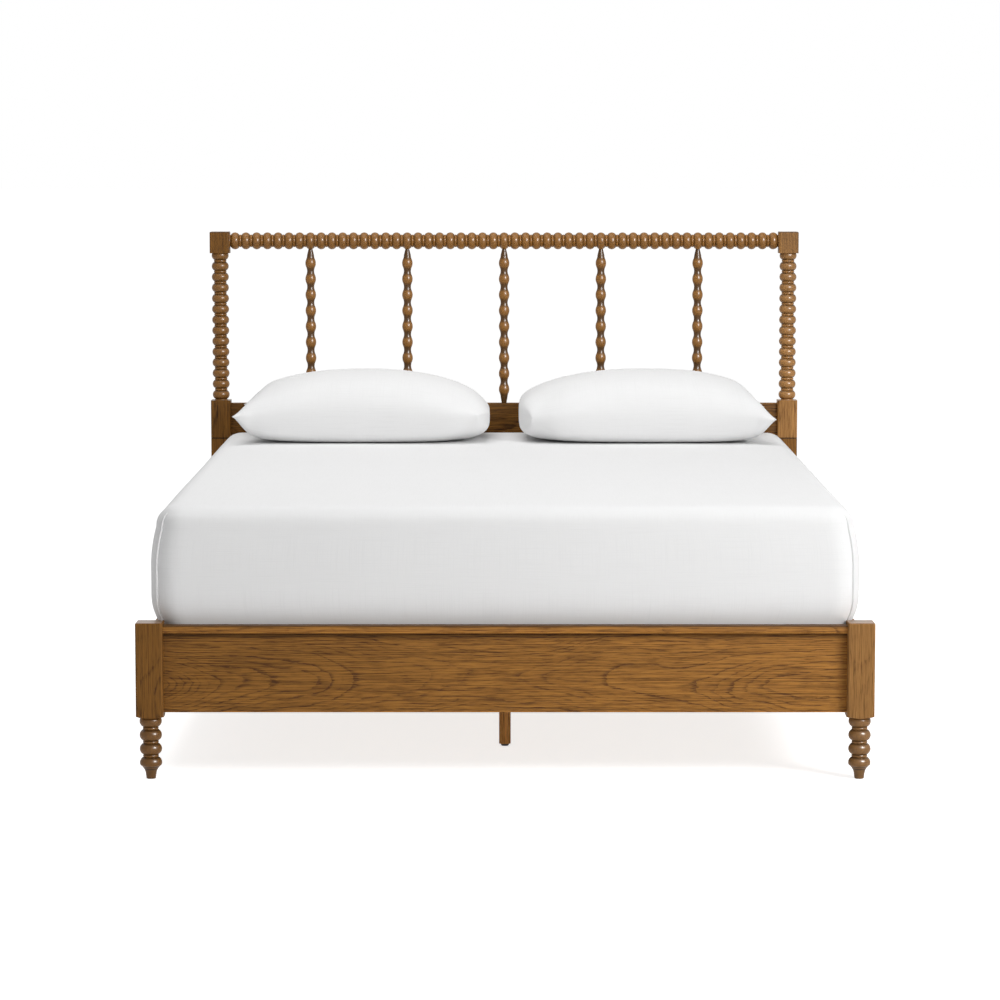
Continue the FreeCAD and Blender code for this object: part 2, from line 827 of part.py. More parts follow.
def slat_strap(side):
    strap = doc.addObject("Part::Box", "slat_strap_" + SIDE_NAMES[side])
    start = slat_places()[0] - D.slat_width / 2
    end = slat_places()[-1] + D.slat_width / 2
    bind(strap, "Length", D.strap_width)
    bind(strap, "Width", end - start)
    bind(strap, "Height", D.strap_thickness)
    bind_place(strap, (D.strap_position * side - D.strap_width / 2, start, slat_bottom - D.strap_thickness))
    return keep(strap)


def center_leg_places():
    return {"front": -D.center_leg_spread, "middle": size(0), "rear": D.center_leg_spread}


def center_beam():
    body = new_body("center_beam")
    half = D.beam_width / 2
    ends = D.hanger_thickness + D.beam_end_gap
    block(body, "beam", (-half, foot_rail_back + ends, beam_bottom), (half, panel_front - ends, slat_bottom))
    dress_edges(body, "Fillet", D.board_edge_round, edge_along("y"))
    for place in center_leg_places().values():
        rod(body, "leg_bore", (0, place, beam_bottom), "+z", D.center_leg_tenon_radius + D.joint_clearance,
            D.center_leg_tenon_length + D.blind_clearance, cut=True)
    return keep(body)


def beam_hanger(name, face, way):
    """A bent steel stirrup: a screwed back plate, a seat and two cheeks around the beam's end."""
    body = new_body(name)
    thick = D.hanger_thickness
    inner = D.beam_width / 2 + D.joint_clearance
    outer = inner + thick
    wide = outer + D.hanger_flange
    seat = beam_bottom - thick
    top = beam_bottom + D.hanger_cheek_height
    block(body, "back", (-wide, 0, seat), (wide, thick, top))
    block(body, "seat", (-outer, 0, seat), (outer, D.hanger_depth, beam_bottom))
    for low, high in ((-outer, -inner), (inner, outer)):
        block(body, "cheek", (low, 0, seat), (high, D.hanger_depth, top))
    for x, z in hanger_screw_places():
        screw_hole(body, (x, thick, z), "-y", thick * 2, sunk=False)
    if way < 0:
        body.Placement = FreeCAD.Placement(FreeCAD.Vector(), FreeCAD.Rotation(FreeCAD.Vector(0, 0, 1), 180))
    bind_place(body, (0, face, 0))
    return body


# Centre legs and levellers


def center_leg(name, place):
    """A square leg with bevelled corners, a round tenon on top and a stepped bore for its leveller."""
    body = new_body("center_leg_" + name)
    half = D.center_leg_side / 2
    block(body, "square", (-half, -half, center_leg_bottom), (half, half, beam_bottom))
    dress_edges(body, "Chamfer", D.center_leg_bevel, edge_along("z"))
    rod(body, "tenon", (0, 0, beam_bottom), "+z", D.center_leg_tenon_radius, D.center_leg_tenon_length)
    rod(body, "insert_bore", (0, 0, center_leg_bottom), "+z", D.insert_radius + D.joint_clearance / 2,
        D.insert_length, cut=True)
    rod(body, "stud_bore", (0, 0, center_leg_bottom), "+z", D.stud_radius + D.blind_clearance,
        D.stud_length + D.blind_clearance * 2, cut=True)
    bind_place(body, (0, place, 0))
    return keep(body)


def leveler_insert(name, place):
    body = new_body("leveler_insert_" + name)
    rod(body, "sleeve", (0, 0, center_leg_bottom), "+z", D.insert_radius, D.insert_length)
    rod(body, "bore", (0, 0, center_leg_bottom), "+z", D.insert_bore_radius, D.insert_length, cut=True)
    bind_place(body, (0, place, 0))
    return body


def leveler_pad(name, place):
    body = new_body("leveler_pad_" + name)
    rod(body, "disc", (0, 0, 0), "+z", D.leveler_pad_radius, D.leveler_pad_thickness)
    dress_edges(body, "Fillet", D.leveler_pad_round, lambda edge: edge.BoundBox.ZMax < 1e-6)
    rod(body, "socket", (0, 0, D.leveler_pad_thickness - D.stud_socket_depth), "+z", D.stud_socket_radius,
        D.stud_socket_depth, cut=True)
    bind_place(body, (0, place, 0))
    return keep(body)


def leveler_stud(name, place):
    stud = doc.addObject("Part::Cylinder", "leveler_stud_" + name)
    bind(stud, "Radius", D.stud_radius)
    bind(stud, "Height", D.stud_length)
    foot = D.leveler_pad_thickness - D.stud_socket_depth + D.leveler_seat_gap / 3
    bind_place(stud, (0, place, foot))
    return keep(stud)


# Plates and fasteners

CORNERS = [(side, end) for side in (LEFT, RIGHT) for end in ("foot", "head")]


def stand_plate(body, side, end):
    """Puts a plate at the joint of a rail and a post; its own -y then points into the post."""
    if end == "head":
        body.Placement = FreeCAD.Placement(FreeCAD.Vector(), FreeCAD.Rotation(FreeCAD.Vector(0, 0, 1), 180))
    bind_place(body, (rail_middle * side, rail_start if end == "foot" else rail_end, rail_mid_height))


def hook_heights():
    return (D.hook_spacing / -2, D.hook_spacing / 2)


def hook_plate(side, end):
    """A plate let into a rail's end, with two hooks that drop behind the slotted plate."""
    body = new_body(f"hook_plate_{end}_{SIDE_NAMES[side]}")
    half = D.plate_width / 2
    tall = D.plate_height / 2
    thin = D.hook_thickness / 2
    neck = D.hook_neck_height / 2
    behind = -D.plate_thickness - D.slot_clearance
    block(body, "plate", (-half, 0, -tall), (half, D.plate_thickness, tall))
    for height in hook_heights():
        block(body, "neck", (-thin, behind - D.hook_tooth_depth, height - neck), (thin, 0, height + neck))
        block(body, "tooth", (-thin, behind - D.hook_tooth_depth, height - neck - D.hook_tooth_drop),
              (thin, behind, height - neck))
    for offset in (-D.hook_screw_offset, D.hook_screw_offset):
        screw_hole(body, (0, 0, offset), "+y", D.plate_thickness, sunk=True)
    stand_plate(body, side, end)
    return body


def slot_plate(side, end):
    """A plate let into a post; the necks of the hooks rest on the lower ends of its slots."""
    body = new_body(f"slot_plate_{end}_{SIDE_NAMES[side]}")
    half = D.plate_width / 2
    tall = D.plate_height / 2
    slot = D.hook_thickness / 2 + D.slot_clearance
    block(body, "plate", (-half, -D.plate_thickness, -tall), (half, 0, tall))
    for height in hook_heights():
        start = height - D.hook_neck_height / 2
        block(body, "slot", (-slot, -D.plate_thickness, start), (slot, 0, start + D.slot_height), cut=True)
    for offset in (-D.slot_screw_offset, D.slot_screw_offset):
        screw_hole(body, (0, 0, offset), "-y", D.plate_thickness, sunk=True)
    stand_plate(body, side, end)
    return body


def joining_offsets():
    near, far = D.joining_screw_near, D.joining_screw_far
    return (-far, -near, near, far)


def joining_plate(side):
    """A flat plate let into the back of a head post and its leg, across their joint."""
    body = new_body("joining_plate_" + SIDE_NAMES[side])
    half = D.joining_plate_width / 2
    tall = D.plate_height / 2
    block(body, "plate", (-half, -D.plate_thickness, -tall), (half, 0, tall))
    for offset in joining_offsets():
        screw_hole(body, (0, 0, offset), "-y", D.plate_thickness, sunk=True)
    bind_place(body, (head_post_x * side, head_face, D.headboard_seat_height))
    return body


def dowels():
    members = []
    for side in (LEFT, RIGHT):
        for offset in (-D.dowel_spread, D.dowel_spread):
            dowel = doc.addObject("Part::Cylinder", "dowel")
            bind(dowel, "Radius", D.dowel_radius)
            bind(dowel, "Height", D.dowel_length)
            start = D.headboard_seat_height - D.dowel_length / 2
            bind_place(dowel, (head_post_x * side + offset, head_post_y, start))
            members.append(dowel)
    return group("dowel_pins", members)


def screw_solid(length):
    """A countersunk screw with its head's flat face at the origin and its point along +z."""
    reach = float(length)
    sunk = float(D.screw_head_height)
    shank = float(D.screw_radius)
    tip = reach - shank * 2
    corners = [(0, 0), (float(D.screw_head_radius), 0), (shank, sunk), (shank, tip), (0, reach), (0, 0)]
    wire = Part.makePolygon([FreeCAD.Vector(r, 0, z) for r, z in corners])
    axis = FreeCAD.Vector(0, 0, 1)
    return Part.Face(wire).revolve(FreeCAD.Vector(), axis, 360)


def screw_places():
    """The head, direction and length of every screw in the bed."""
    places = []
    for side in (LEFT, RIGHT):
        middle = rail_middle * side
        for end, into_rail, into_post in ((rail_start, "+y", "-y"), (rail_end, "-y", "+y")):
            for offset in (-D.hook_screw_offset, D.hook_screw_offset):
                places.append(((middle, end, rail_mid_height + offset), into_rail, D.long_screw))
            for offset in (-D.slot_screw_offset, D.slot_screw_offset):
                places.append(((middle, end, rail_mid_height + offset), into_post, D.short_screw))
        for y in ledger_screw_places():
            head = ((rail_inner - D.ledger_width) * side, y, slat_bottom - D.ledger_height / 2)
            places.append((head, "+x" if side > 0 else "-x", D.long_screw))
        for offset in joining_offsets():
            head = (head_post_x * side, head_face, D.headboard_seat_height + offset)
            places.append((head, "-y", D.short_screw))
    proud = D.hanger_thickness + D.screw_head_height
    for x, z in hanger_screw_places():
        places.append(((x, foot_rail_back + proud, z), "-y", D.short_screw))
        places.append(((x, panel_front - proud, z), "+y", D.short_screw))
    return places


def wood_screws():
    solids = []
    for head, way, length in screw_places():
        screw = screw_solid(length)
        screw.Placement = FreeCAD.Placement(FreeCAD.Vector(*map(float, head)), TURNS[way])
        solids.append(screw)
    screws = doc.addObject("Part::Feature", "wood_screws")
    screws.Shape = Part.makeCompound(solids)
    return keep(screws)


# Mattress, fitted sheet and pillows


def round_rectangle(half, front, back, corner, height):
    """A level outline with four lines and four quarter circles."""
    inner = half - corner
    lines_and_arcs = []
    centers = [(inner, back - corner, 0), (-inner, back - corner, 90),
               (-inner, front + corner, 180), (inner, front + corner, 270)]
    points = []
    for x, y, angle in centers:
        for turn in (0, 45, 90):
            spoke = math.radians(angle + turn)
            points.append(FreeCAD.Vector(x + corner * math.cos(spoke), y + corner * math.sin(spoke), height))
    for i in range(4):
        first, middle, last = points[3 * i:3 * i + 3]
        lines_and_arcs.append(Part.Arc(first, middle, last).toShape())
        lines_and_arcs.append(Part.makeLine(last, points[(3 * i + 3) % 12]))
    return Part.Wire(lines_and_arcs)


def bulge_share(height, start, shoulder):
    """How much of its bulge a side has at a height, above the board that holds it in up to the start."""
    risen = min(max(height - start, 0) / float(D.mattress_bulge_rise), 1)
    fall = float(D.mattress_bulge_fall)
    fallen = min(max(height - shoulder + fall, 0) / fall, 1)
    return math.sin(math.pi / 2 * risen) * math.cos(math.acos(float(D.mattress_shoulder_share)) * fallen)


def mattress_levels():
    """(height above the base, inset from the straight side) up the mattress, and its shoulder's height."""
    tall = float(D.mattress_thickness)
    base = float(D.mattress_base_round)
    edge = float(D.mattress_edge_round)
    side_start, foot_start = bulge_starts()
    shoulder = tall - float(D.mattress_crown) - edge
    fall_start = shoulder - float(D.mattress_bulge_fall)
    levels = []
    for degrees in (0, 30, 60, 90):
        turn = math.radians(degrees)
        levels.append((base * (1 - math.cos(turn)), base * (1 - math.sin(turn))))
    for share in (0, 0.5):
        levels.append((side_start + (foot_start - side_start) * share, 0.0))
    for share in (0, 0.17, 0.37, 0.57, 0.76, 1):
        levels.append((foot_start + float(D.mattress_bulge_rise) * share, 0.0))
    for share in (0, 0.35, 0.7):
        levels.append((fall_start + (shoulder - fall_start) * share, 0.0))
    for degrees in (0, 18, 36, 54, 70, 82):
        turn = math.radians(degrees)
        levels.append((shoulder + edge * math.sin(turn), edge * (1 - math.cos(turn))))
    levels.append((tall, edge + float(D.mattress_crown_inset)))
    return levels, shoulder


def bulge_starts():
    """The heights above the mattress's base where the side rails and the foot rail's cap end."""
    return float(rail_top - D.slat_top_height), float(cap_top - D.slat_top_height)


def mattress_loft(depth):
    """The mattress's outer form, or the form at a depth below it (outside it for a negative depth)."""
    base = float(D.slat_top_height + D.soft_clearance)
    front = float(mattress_front)
    back = float(mattress_back)
    tall = float(D.mattress_thickness)
    side_start, foot_start = bulge_starts()
    levels, shoulder = mattress_levels()
    wires = []
    for height, inset in levels:
        share = height / tall
        lift = max(depth, 0) * (1 - share) - depth * share
        shrink = inset + depth
        wires.append(round_rectangle(
            float(mattress_half + D.mattress_side_bulge * bulge_share(height, side_start, shoulder)) - shrink,
            front - float(D.mattress_foot_bulge) * bulge_share(height, foot_start, shoulder) + shrink,
            back - shrink,
            float(D.mattress_corner_round) - depth,
            base + height + lift,
        ))
    return Part.makeLoft(wires, True, True)


def soft_piece(name, shape):
    piece = doc.addObject("Part::Feature", name)
    piece.Shape = shape
    return keep(piece)


def mattress():
    """A padded casing; the hollow inside is where the springs are."""
    outside = mattress_loft(0)
    return soft_piece("mattress", outside.cut(mattress_loft(float(D.mattress_casing))))


def fitted_sheet():
    gap = float(D.soft_clearance)
    inside = mattress_loft(-gap)
    outside = mattress_loft(-gap - float(D.sheet_thickness))
    return soft_piece("fitted_sheet", outside.cut(inside))


def arc_outline(half_x, half_y, swell, height):
    """A level outline of four arcs between four corners; a negative swell draws the sides in."""
    corners = [(half_x, half_y), (-half_x, half_y), (-half_x, -half_y), (half_x, -half_y)]
    middles = [(0, half_y + swell), (-half_x - swell, 0), (0, -half_y - swell), (half_x + swell, 0)]
    edges = []
    for i, middle in enumerate(middles):
        ends = (corners[i], corners[(i + 1) % 4])
        first, between, last = (FreeCAD.Vector(x, y, height) for x, y in (ends[0], middle, ends[1]))
        edges.append(Part.Arc(first, between, last).toShape())
    return Part.Wire(edges)


def pillow_levels():
    """(height, share of the plan size, share of the way from drawn-in to swollen sides) up a pillow."""
    seam = float(D.pillow_seam_height)
    above = float(D.pillow_thickness) - seam
    contact = float(D.pillow_contact_share)
    crown = float(D.pillow_crown_share)
    levels = []
    for degrees in (90, 75, 60, 45, 30, 15):
        turn = math.radians(degrees)
        levels.append((seam * (1 - math.sin(turn)), contact + (1 - contact) * math.cos(turn), math.sin(turn)))
    for degrees in (0, 15, 30, 45, 60, 75, 90):
        turn = math.radians(degrees)
        levels.append((seam + above * math.sin(turn), crown + (1 - crown) * math.cos(turn), math.sin(turn)))
    return levels


def pillow_loft(depth):
    """A pillow about its own middle, standing on its flattened underside; depth shrinks it all round."""
    half_x = float(pillow_width) / 2
    half_y = float(D.pillow_depth) / 2
    tall = float(D.pillow_thickness)
    drawn_in = float(D.pillow_drawn_in)
    swing = drawn_in + float(D.pillow_swell)
    wires = []
    for height, share, swelling in pillow_levels():
        lift = depth * (1 - 2 * height / tall)
        wires.append(arc_outline(
            half_x * share - depth, half_y * share - depth, swing * swelling - drawn_in, height + lift,
        ))
    return Part.makeLoft(wires, True, True)


def pillow_pair(side):
    """A pillow's ticking and the case over it."""
    case = float(D.pillowcase_thickness)
    gap = float(D.soft_clearance)
    ticking = float(D.pillow_ticking)
    outer = case + gap
    sheet_top = float(D.slat_top_height + D.soft_clearance * 2 + D.mattress_thickness + D.sheet_thickness)
    back = float(panel_front - D.pillow_head_gap)
    across = float(pillow_width + D.pillow_middle_gap) / 2 * side
    place = FreeCAD.Vector(across, back - float(D.pillow_depth) / 2, sheet_top + gap)
    forms = {
        "pillowcase_": pillow_loft(0).cut(pillow_loft(case)),
        "pillow_": pillow_loft(outer).cut(pillow_loft(outer + ticking)),
    }
    for name, form in forms.items():
        piece = soft_piece(name + SIDE_NAMES[side], form)
        piece.Placement = FreeCAD.Placement(place, FreeCAD.Rotation())


# The bed


def build_frame():
    for side in (LEFT, RIGHT):
        head_post(side)
        head_leg(side)
        foot_post(side)
        side_rail(side)
        ledger(side)
        slat_strap(side)
    top_rail()
    for number, place in enumerate(spindle_places(), 1):
        spindle(number, place)
    headboard_panel()
    head_cross_rail()
    foot_rail()
    foot_cap()
    for number, place in enumerate(slat_places(), 1):
        slat(number, place)
    center_beam()


def build_hardware():
    group("beam_hangers", [
        beam_hanger("hanger_foot", foot_rail_back, 1),
        beam_hanger("hanger_head", panel_front, -1),
    ])
    inserts = []
    for name, place in center_leg_places().items():
        center_leg(name, place)
        leveler_pad(name, place)
        leveler_stud(name, place)
        inserts.append(leveler_insert(name, place))
    group("leveler_inserts", inserts)
    group("rail_hook_plates", [hook_plate(side, end) for side, end in CORNERS])
    group("post_slot_plates", [slot_plate(side, end) for side, end in CORNERS])
    group("headboard_joining_plates", [joining_plate(side) for side in (LEFT, RIGHT)])
    dowels()
    wood_screws()


def build_bedding():
    mattress()
    fitted_sheet()
    for side in (LEFT, RIGHT):
        pillow_pair(side)


def check_document():
    for item in doc.Objects:
        if "Invalid" in item.State or "Error" in item.State:
            raise RuntimeError(f"{item.Label} ({item.Name}) is {item.State}")
    for piece in pieces:
        if piece.Shape.isNull() or not piece.Shape.isValid():
            raise RuntimeError(f"{piece.Label} has no sound shape")
        print(f"{piece.Label}: {len(piece.Shape.Solids)} solids, {piece.Shape.Volume / 1000:.1f} cm3")


def write_pieces():
    os.makedirs("parts", exist_ok=True)
    for piece in pieces:
        piece.Shape.exportStep(f"parts/{piece.Label}.step")
    print(len(pieces), "pieces written")


build_frame()
build_hardware()
build_bedding()
doc.recompute()
check_document()
write_pieces()
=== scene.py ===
# %% [markdown]
# # Dressing a spool-turned bed
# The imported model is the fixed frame: every post, rail, slat and screw is already where it belongs.
# This lesson adds what a drawing of solids can't hold: stained oak with its figure, cotton, a fitted
# sheet with corner seams and two filled pillows. It is all in metres, in the frame of the solids.

# %% Load the frame
import math

import bmesh
import bpy
from mathutils import Matrix, Vector, noise


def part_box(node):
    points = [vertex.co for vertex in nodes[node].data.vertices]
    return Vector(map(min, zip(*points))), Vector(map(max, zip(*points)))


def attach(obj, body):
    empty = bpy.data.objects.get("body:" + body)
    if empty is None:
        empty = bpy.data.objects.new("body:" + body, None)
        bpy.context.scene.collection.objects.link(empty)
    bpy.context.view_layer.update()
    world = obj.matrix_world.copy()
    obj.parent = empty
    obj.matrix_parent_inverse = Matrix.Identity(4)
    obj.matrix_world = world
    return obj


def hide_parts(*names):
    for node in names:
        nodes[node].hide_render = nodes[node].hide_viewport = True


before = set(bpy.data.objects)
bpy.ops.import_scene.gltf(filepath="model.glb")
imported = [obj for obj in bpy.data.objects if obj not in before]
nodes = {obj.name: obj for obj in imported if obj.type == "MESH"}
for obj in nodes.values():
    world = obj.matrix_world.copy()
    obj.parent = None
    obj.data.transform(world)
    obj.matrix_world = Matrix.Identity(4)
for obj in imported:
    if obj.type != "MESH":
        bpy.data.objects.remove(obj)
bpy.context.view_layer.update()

# %% [markdown]
# ## The camera
# The bed was photographed from a little above its headboard, straight on to its foot and from far
# away. A long lens keeps the two head posts parallel, and a slight downward pitch shows the top of the
# mattress. The place was solved from the corners of the posts, so nothing here is tuned by eye.

# %% Camera
CAMERA_PLACE = (-0.0114, -8.7272, 1.4058)
CAMERA_PITCH = 0.10198
LENS_MM = 126.8

eye = bpy.data.cameras.new("studio_camera")
eye.lens = LENS_MM
eye.sensor_width = 36
eye.clip_end = 100
camera = bpy.data.objects.new("studio_camera", eye)
camera.location = CAMERA_PLACE
camera.rotation_euler = (math.pi / 2 - CAMERA_PITCH, 0, 0)
bpy.context.scene.collection.objects.link(camera)
bpy.context.scene.camera = camera
print("camera lens", LENS_MM, "mm")

# %% [markdown]
# ## Small helpers for node trees
# A shader is a tree of small boxes. `put` adds one box, sets its options and either links or sets each
# input, and `calc` does that for one step of arithmetic, so that the finishes below read as recipes.

# %% Boxes and sums
def put(tree, kind, feeds=None, **options):
    box = tree.nodes.new("ShaderNode" + kind)
    for name, value in options.items():
        setattr(box, name, value)
    for key, value in (feeds or {}).items():
        if isinstance(value, bpy.types.NodeSocket):
            tree.links.new(value, box.inputs[key])
        else:
            box.inputs[key].default_value = value
    return box


def calc(tree, operation, *values):
    return put(tree, "Math", dict(enumerate(values)), operation=operation).outputs[0]


def stretch(tree, vector, factors):
    return put(tree, "VectorMath", {0: vector, 1: factors}, operation="MULTIPLY").outputs[0]


def cloud(tree, vector, detail=2.0, roughness=0.5):
    feeds = {"Vector": vector, "Scale": 1.0, "Detail": detail, "Roughness": roughness}
    return put(tree, "TexNoise", feeds)


def ramp(tree, value, low, high, to_low=0.0, to_high=1.0):
    feeds = {"Value": value, "From Min": low, "From Max": high, "To Min": to_low, "To Max": to_high}
    return put(tree, "MapRange", feeds, interpolation_type="SMOOTHSTEP").outputs[0]


def blend(tree, factor, first, second, how="MIX"):
    return put(tree, "Mix", {0: factor, 6: first, 7: second}, data_type="RGBA", blend_type=how).outputs[2]


print("boxes and sums ready")

# %% [markdown]
# ### Groups and finishes
# A group is a tree that several finishes share, such as the figure of oak or the weave of cotton. A finish
# is one material with one Principled shader: `feed` links or sets its sockets by name, `bump` turns a
# height into a tilt of the surface, and `colour` lets us write colours as they look on a screen.

# %% Groups and finishes
def new_group(name, takes, gives):
    tree = bpy.data.node_groups.new(name, "ShaderNodeTree")
    for label, kind in takes:
        tree.interface.new_socket(name=label, in_out="INPUT", socket_type="NodeSocket" + kind)
    for label in gives:
        tree.interface.new_socket(name=label, in_out="OUTPUT", socket_type="NodeSocketFloat")
    enter = tree.nodes.new("NodeGroupInput")
    leave = tree.nodes.new("NodeGroupOutput")
    return tree, enter.outputs, leave.inputs


def place_group(tree, group, feeds):
    box = tree.nodes.new("ShaderNodeGroup")
    box.node_tree = group
    for key, value in feeds.items():
        if isinstance(value, bpy.types.NodeSocket):
            tree.links.new(value, box.inputs[key])
        else:
            box.inputs[key].default_value = value
    return box.outputs


def new_finish(name):
    finish = bpy.data.materials.new(name)
    finish.use_nodes = True
    tree = finish.node_tree
    tree.nodes.clear()
    shader = put(tree, "BsdfPrincipled")
    out = put(tree, "OutputMaterial")
    tree.links.new(shader.outputs[0], out.inputs[0])
    return finish, tree, shader


def feed(tree, shader, **sockets):
    for label, value in sockets.items():
        key = label.replace("_", " ").title().replace("Ior", "IOR")
        if isinstance(value, bpy.types.NodeSocket):
            tree.links.new(value, shader.inputs[key])
        else:
            shader.inputs[key].default_value = value


def bump(tree, height, distance, strength=1.0):
    return put(tree, "Bump", {"Height": height, "Distance": distance, "Strength": strength}).outputs[0]


def colour(red, green, blue):
    """A colour given as it looks on a screen (0 to 255), turned into the linear light that a shader wants."""
    def linear(value):
        share = value / 255
        return share / 12.92 if share <= 0.04045 else ((share + 0.055) / 1.055) ** 2.4
    return (linear(red), linear(green), linear(blue), 1.0)


print("groups and finishes ready")

# %% [markdown]
# ## The studio
# The bed stands on a white sweep: an even dome, and a floor that glows a little, as a lit acrylic sheet
# does, so that it is not black under the bed. The white that the camera sees, and that lacquer and steel
# mirror, is painted on with Light Path, so it adds no light to the bed. The floor keeps the soft shadow.

# %% Dome and floor
DOME_LIGHT = 0.35
FLOOR_GLOW = 0.75
FLOOR_LIGHT = 0.12
FLOOR_PAINT = (0.8, 0.8, 0.8, 1)
FLOOR_REACH = 150
FLOOR_DROP = 0.0004
bpy.context.scene.view_settings.view_transform = "Standard"


def seen_ray(path):
    """1 for rays that look at the background, straight, through glass or in a mirror."""
    clear = calc(path.id_data, "MAXIMUM", path.outputs["Is Camera Ray"], path.outputs["Is Transmission Ray"])
    return calc(path.id_data, "MAXIMUM", clear, path.outputs["Is Glossy Ray"])


def studio_dome():
    """Even light all round, and white to look at."""
    world = bpy.data.worlds.new("studio_dome")
    world.use_nodes = True
    tree = world.node_tree
    tree.nodes.clear()
    level = calc(tree, "MAXIMUM", DOME_LIGHT, seen_ray(put(tree, "LightPath")))
    sky = put(tree, "Background", {"Color": (1, 1, 1, 1), "Strength": level})
    put(tree, "OutputWorld", {"Surface": sky.outputs[0]})
    bpy.context.scene.world = world


def studio_floor():
    bm = bmesh.new()
    bmesh.ops.create_grid(bm, x_segments=1, y_segments=1, size=FLOOR_REACH)
    mesh = bpy.data.meshes.new("studio_floor")
    bm.to_mesh(mesh)
    bm.free()
    mesh.transform(Matrix.Translation((0, 0, -FLOOR_DROP)))
    floor = bpy.data.objects.new("studio_floor", mesh)
    bpy.context.scene.collection.objects.link(floor)
    paint = bpy.data.materials.new("floor_paint")
    paint.use_nodes = True
    tree = paint.node_tree
    tree.nodes.clear()
    matt = put(tree, "BsdfDiffuse", {"Color": FLOOR_PAINT})
    seen = seen_ray(put(tree, "LightPath"))
    level = calc(tree, "MULTIPLY_ADD", seen, FLOOR_GLOW - FLOOR_LIGHT, FLOOR_LIGHT)
    glow = put(tree, "Emission", {"Strength": level})
    both = put(tree, "AddShader", {0: matt.outputs[0], 1: glow.outputs[0]})
    put(tree, "OutputMaterial", {"Surface": both.outputs[0]})
    mesh.materials.append(paint)


studio_dome()
studio_floor()
print("dome light", DOME_LIGHT, "floor light", FLOOR_LIGHT)

# %% [markdown]
# ### Lamps
# One big soft lamp at the right of the foot shapes the bed, and a wider one overhead fills it in. Mirrored
# white walls alone would leave the lacquer milky, so a third lamp beside the first lights nothing and is
# only mirrored: it sets the highlight on each bead.

# %% Lamps
KEY_LAMP = ((3.2, -3.7, 2.7), (0, -0.6, 0.5), 1.5, 125)
TOP_LAMP = ((-0.5, 0.1, 4.2), (0, 0, 0.5), 3.0, 79)
HIGHLIGHT_LAMP = ((2.9, -3.8, 2.9), (0, 0, 0.8), 1.8, 820)


def soft_lamp(name, place, target, size, watts):
    """A square lamp at a place, turned to its target."""
    light = bpy.data.lights.new(name, "AREA")
    light.shape = "SQUARE"
    light.size = size
    light.energy = watts
    lamp = bpy.data.objects.new(name, light)
    lamp.location = place
    lamp.rotation_euler = (Vector(target) - Vector(place)).to_track_quat("-Z", "Y").to_euler()
    bpy.context.scene.collection.objects.link(lamp)
    return lamp


soft_lamp("key_lamp", *KEY_LAMP)
soft_lamp("top_lamp", *TOP_LAMP)
soft_lamp("highlight_lamp", *HIGHLIGHT_LAMP).visible_diffuse = False
print("key lamp", KEY_LAMP[3], "W, top lamp", TOP_LAMP[3], "W")

# %% [markdown]
# ## The figure of oak
# A board is a slice through a cone of growth rings. The group below measures how far each point is from
# the pith, lets the pith wander and swell along the trunk, and turns the distance into rings: that is
# what draws the arched figure on a flat-sawn board and straight lines on its edges, all by itself. In
# oak each ring starts with a row of open pores, which take more stain.

# %% Oak figure group
def oak_figure():
    takes = [("Vector", "Vector"), ("Ring Width", "Float"), ("Pith Depth", "Float"),
             ("Pith Height", "Float"), ("Swell", "Float")]
    tree, takes_in, gives_out = new_group("oak_figure", takes, ["Dark", "Pores", "Tone"])
    place = takes_in["Vector"]
    x, y, z = put(tree, "SeparateXYZ", {0: place}).outputs
    drift = cloud(tree, stretch(tree, place, (1.9, 3.0, 3.0))).outputs["Color"]
    wander = put(tree, "SeparateXYZ", {0: drift}).outputs
    swelling = calc(tree, "MULTIPLY", calc(tree, "MULTIPLY", x, x), takes_in["Swell"])
    depth = calc(tree, "SUBTRACT", takes_in["Pith Depth"], swelling)
    rise = calc(tree, "SUBTRACT", z, takes_in["Pith Height"])
    deep = calc(tree, "MULTIPLY_ADD", wander[0], 0.11, calc(tree, "ADD", depth, y))
    high = calc(tree, "MULTIPLY_ADD", wander[1], 0.09, rise)
    squares = calc(tree, "ADD", calc(tree, "MULTIPLY", deep, deep), calc(tree, "MULTIPLY", high, high))
    shake = cloud(tree, stretch(tree, place, (16, 75, 75)), 3.0, 0.6).outputs[0]
    radius = calc(tree, "MULTIPLY_ADD", shake, 0.006, calc(tree, "SQRT", squares))
    ring = calc(tree, "DIVIDE", radius, takes_in["Ring Width"])
    share = calc(tree, "FRACT", ring)
    strength = put(tree, "TexWhiteNoise", {"W": calc(tree, "FLOOR", ring)}, noise_dimensions="1D").outputs[0]
    line = calc(tree, "MULTIPLY", ramp(tree, share, 0.0, 0.42, 1.0, 0.0), ramp(tree, share, 0.0, 0.06))
    line = calc(tree, "MULTIPLY", line, ramp(tree, strength, 0.0, 1.0, 0.15, 1.0))
    fibre = cloud(tree, stretch(tree, place, (7, 700, 700)), 2.0, 0.6).outputs[0]
    speck = cloud(tree, stretch(tree, place, (26, 620, 620)), 2.0, 0.6).outputs[0]
    pores = calc(tree, "MULTIPLY", ramp(tree, speck, 0.48, 0.60), ramp(tree, line, 0.0, 0.5, 0.45, 1.0))
    streaks = ramp(tree, fibre, 0.38, 0.62)
    dark = calc(tree, "MULTIPLY", line, calc(tree, "MULTIPLY_ADD", streaks, 0.40, 0.28))
    dark = calc(tree, "MULTIPLY_ADD", streaks, 0.60, dark)
    dark = calc(tree, "MULTIPLY_ADD", pores, 0.75, dark)
    tree.links.new(dark, gives_out["Dark"])
    tree.links.new(pores, gives_out["Pores"])
    tree.links.new(cloud(tree, stretch(tree, place, (1.3, 7, 7))).outputs[0], gives_out["Tone"])
    return tree


OAK = oak_figure()
print("oak figure:", len(OAK.nodes), "nodes")

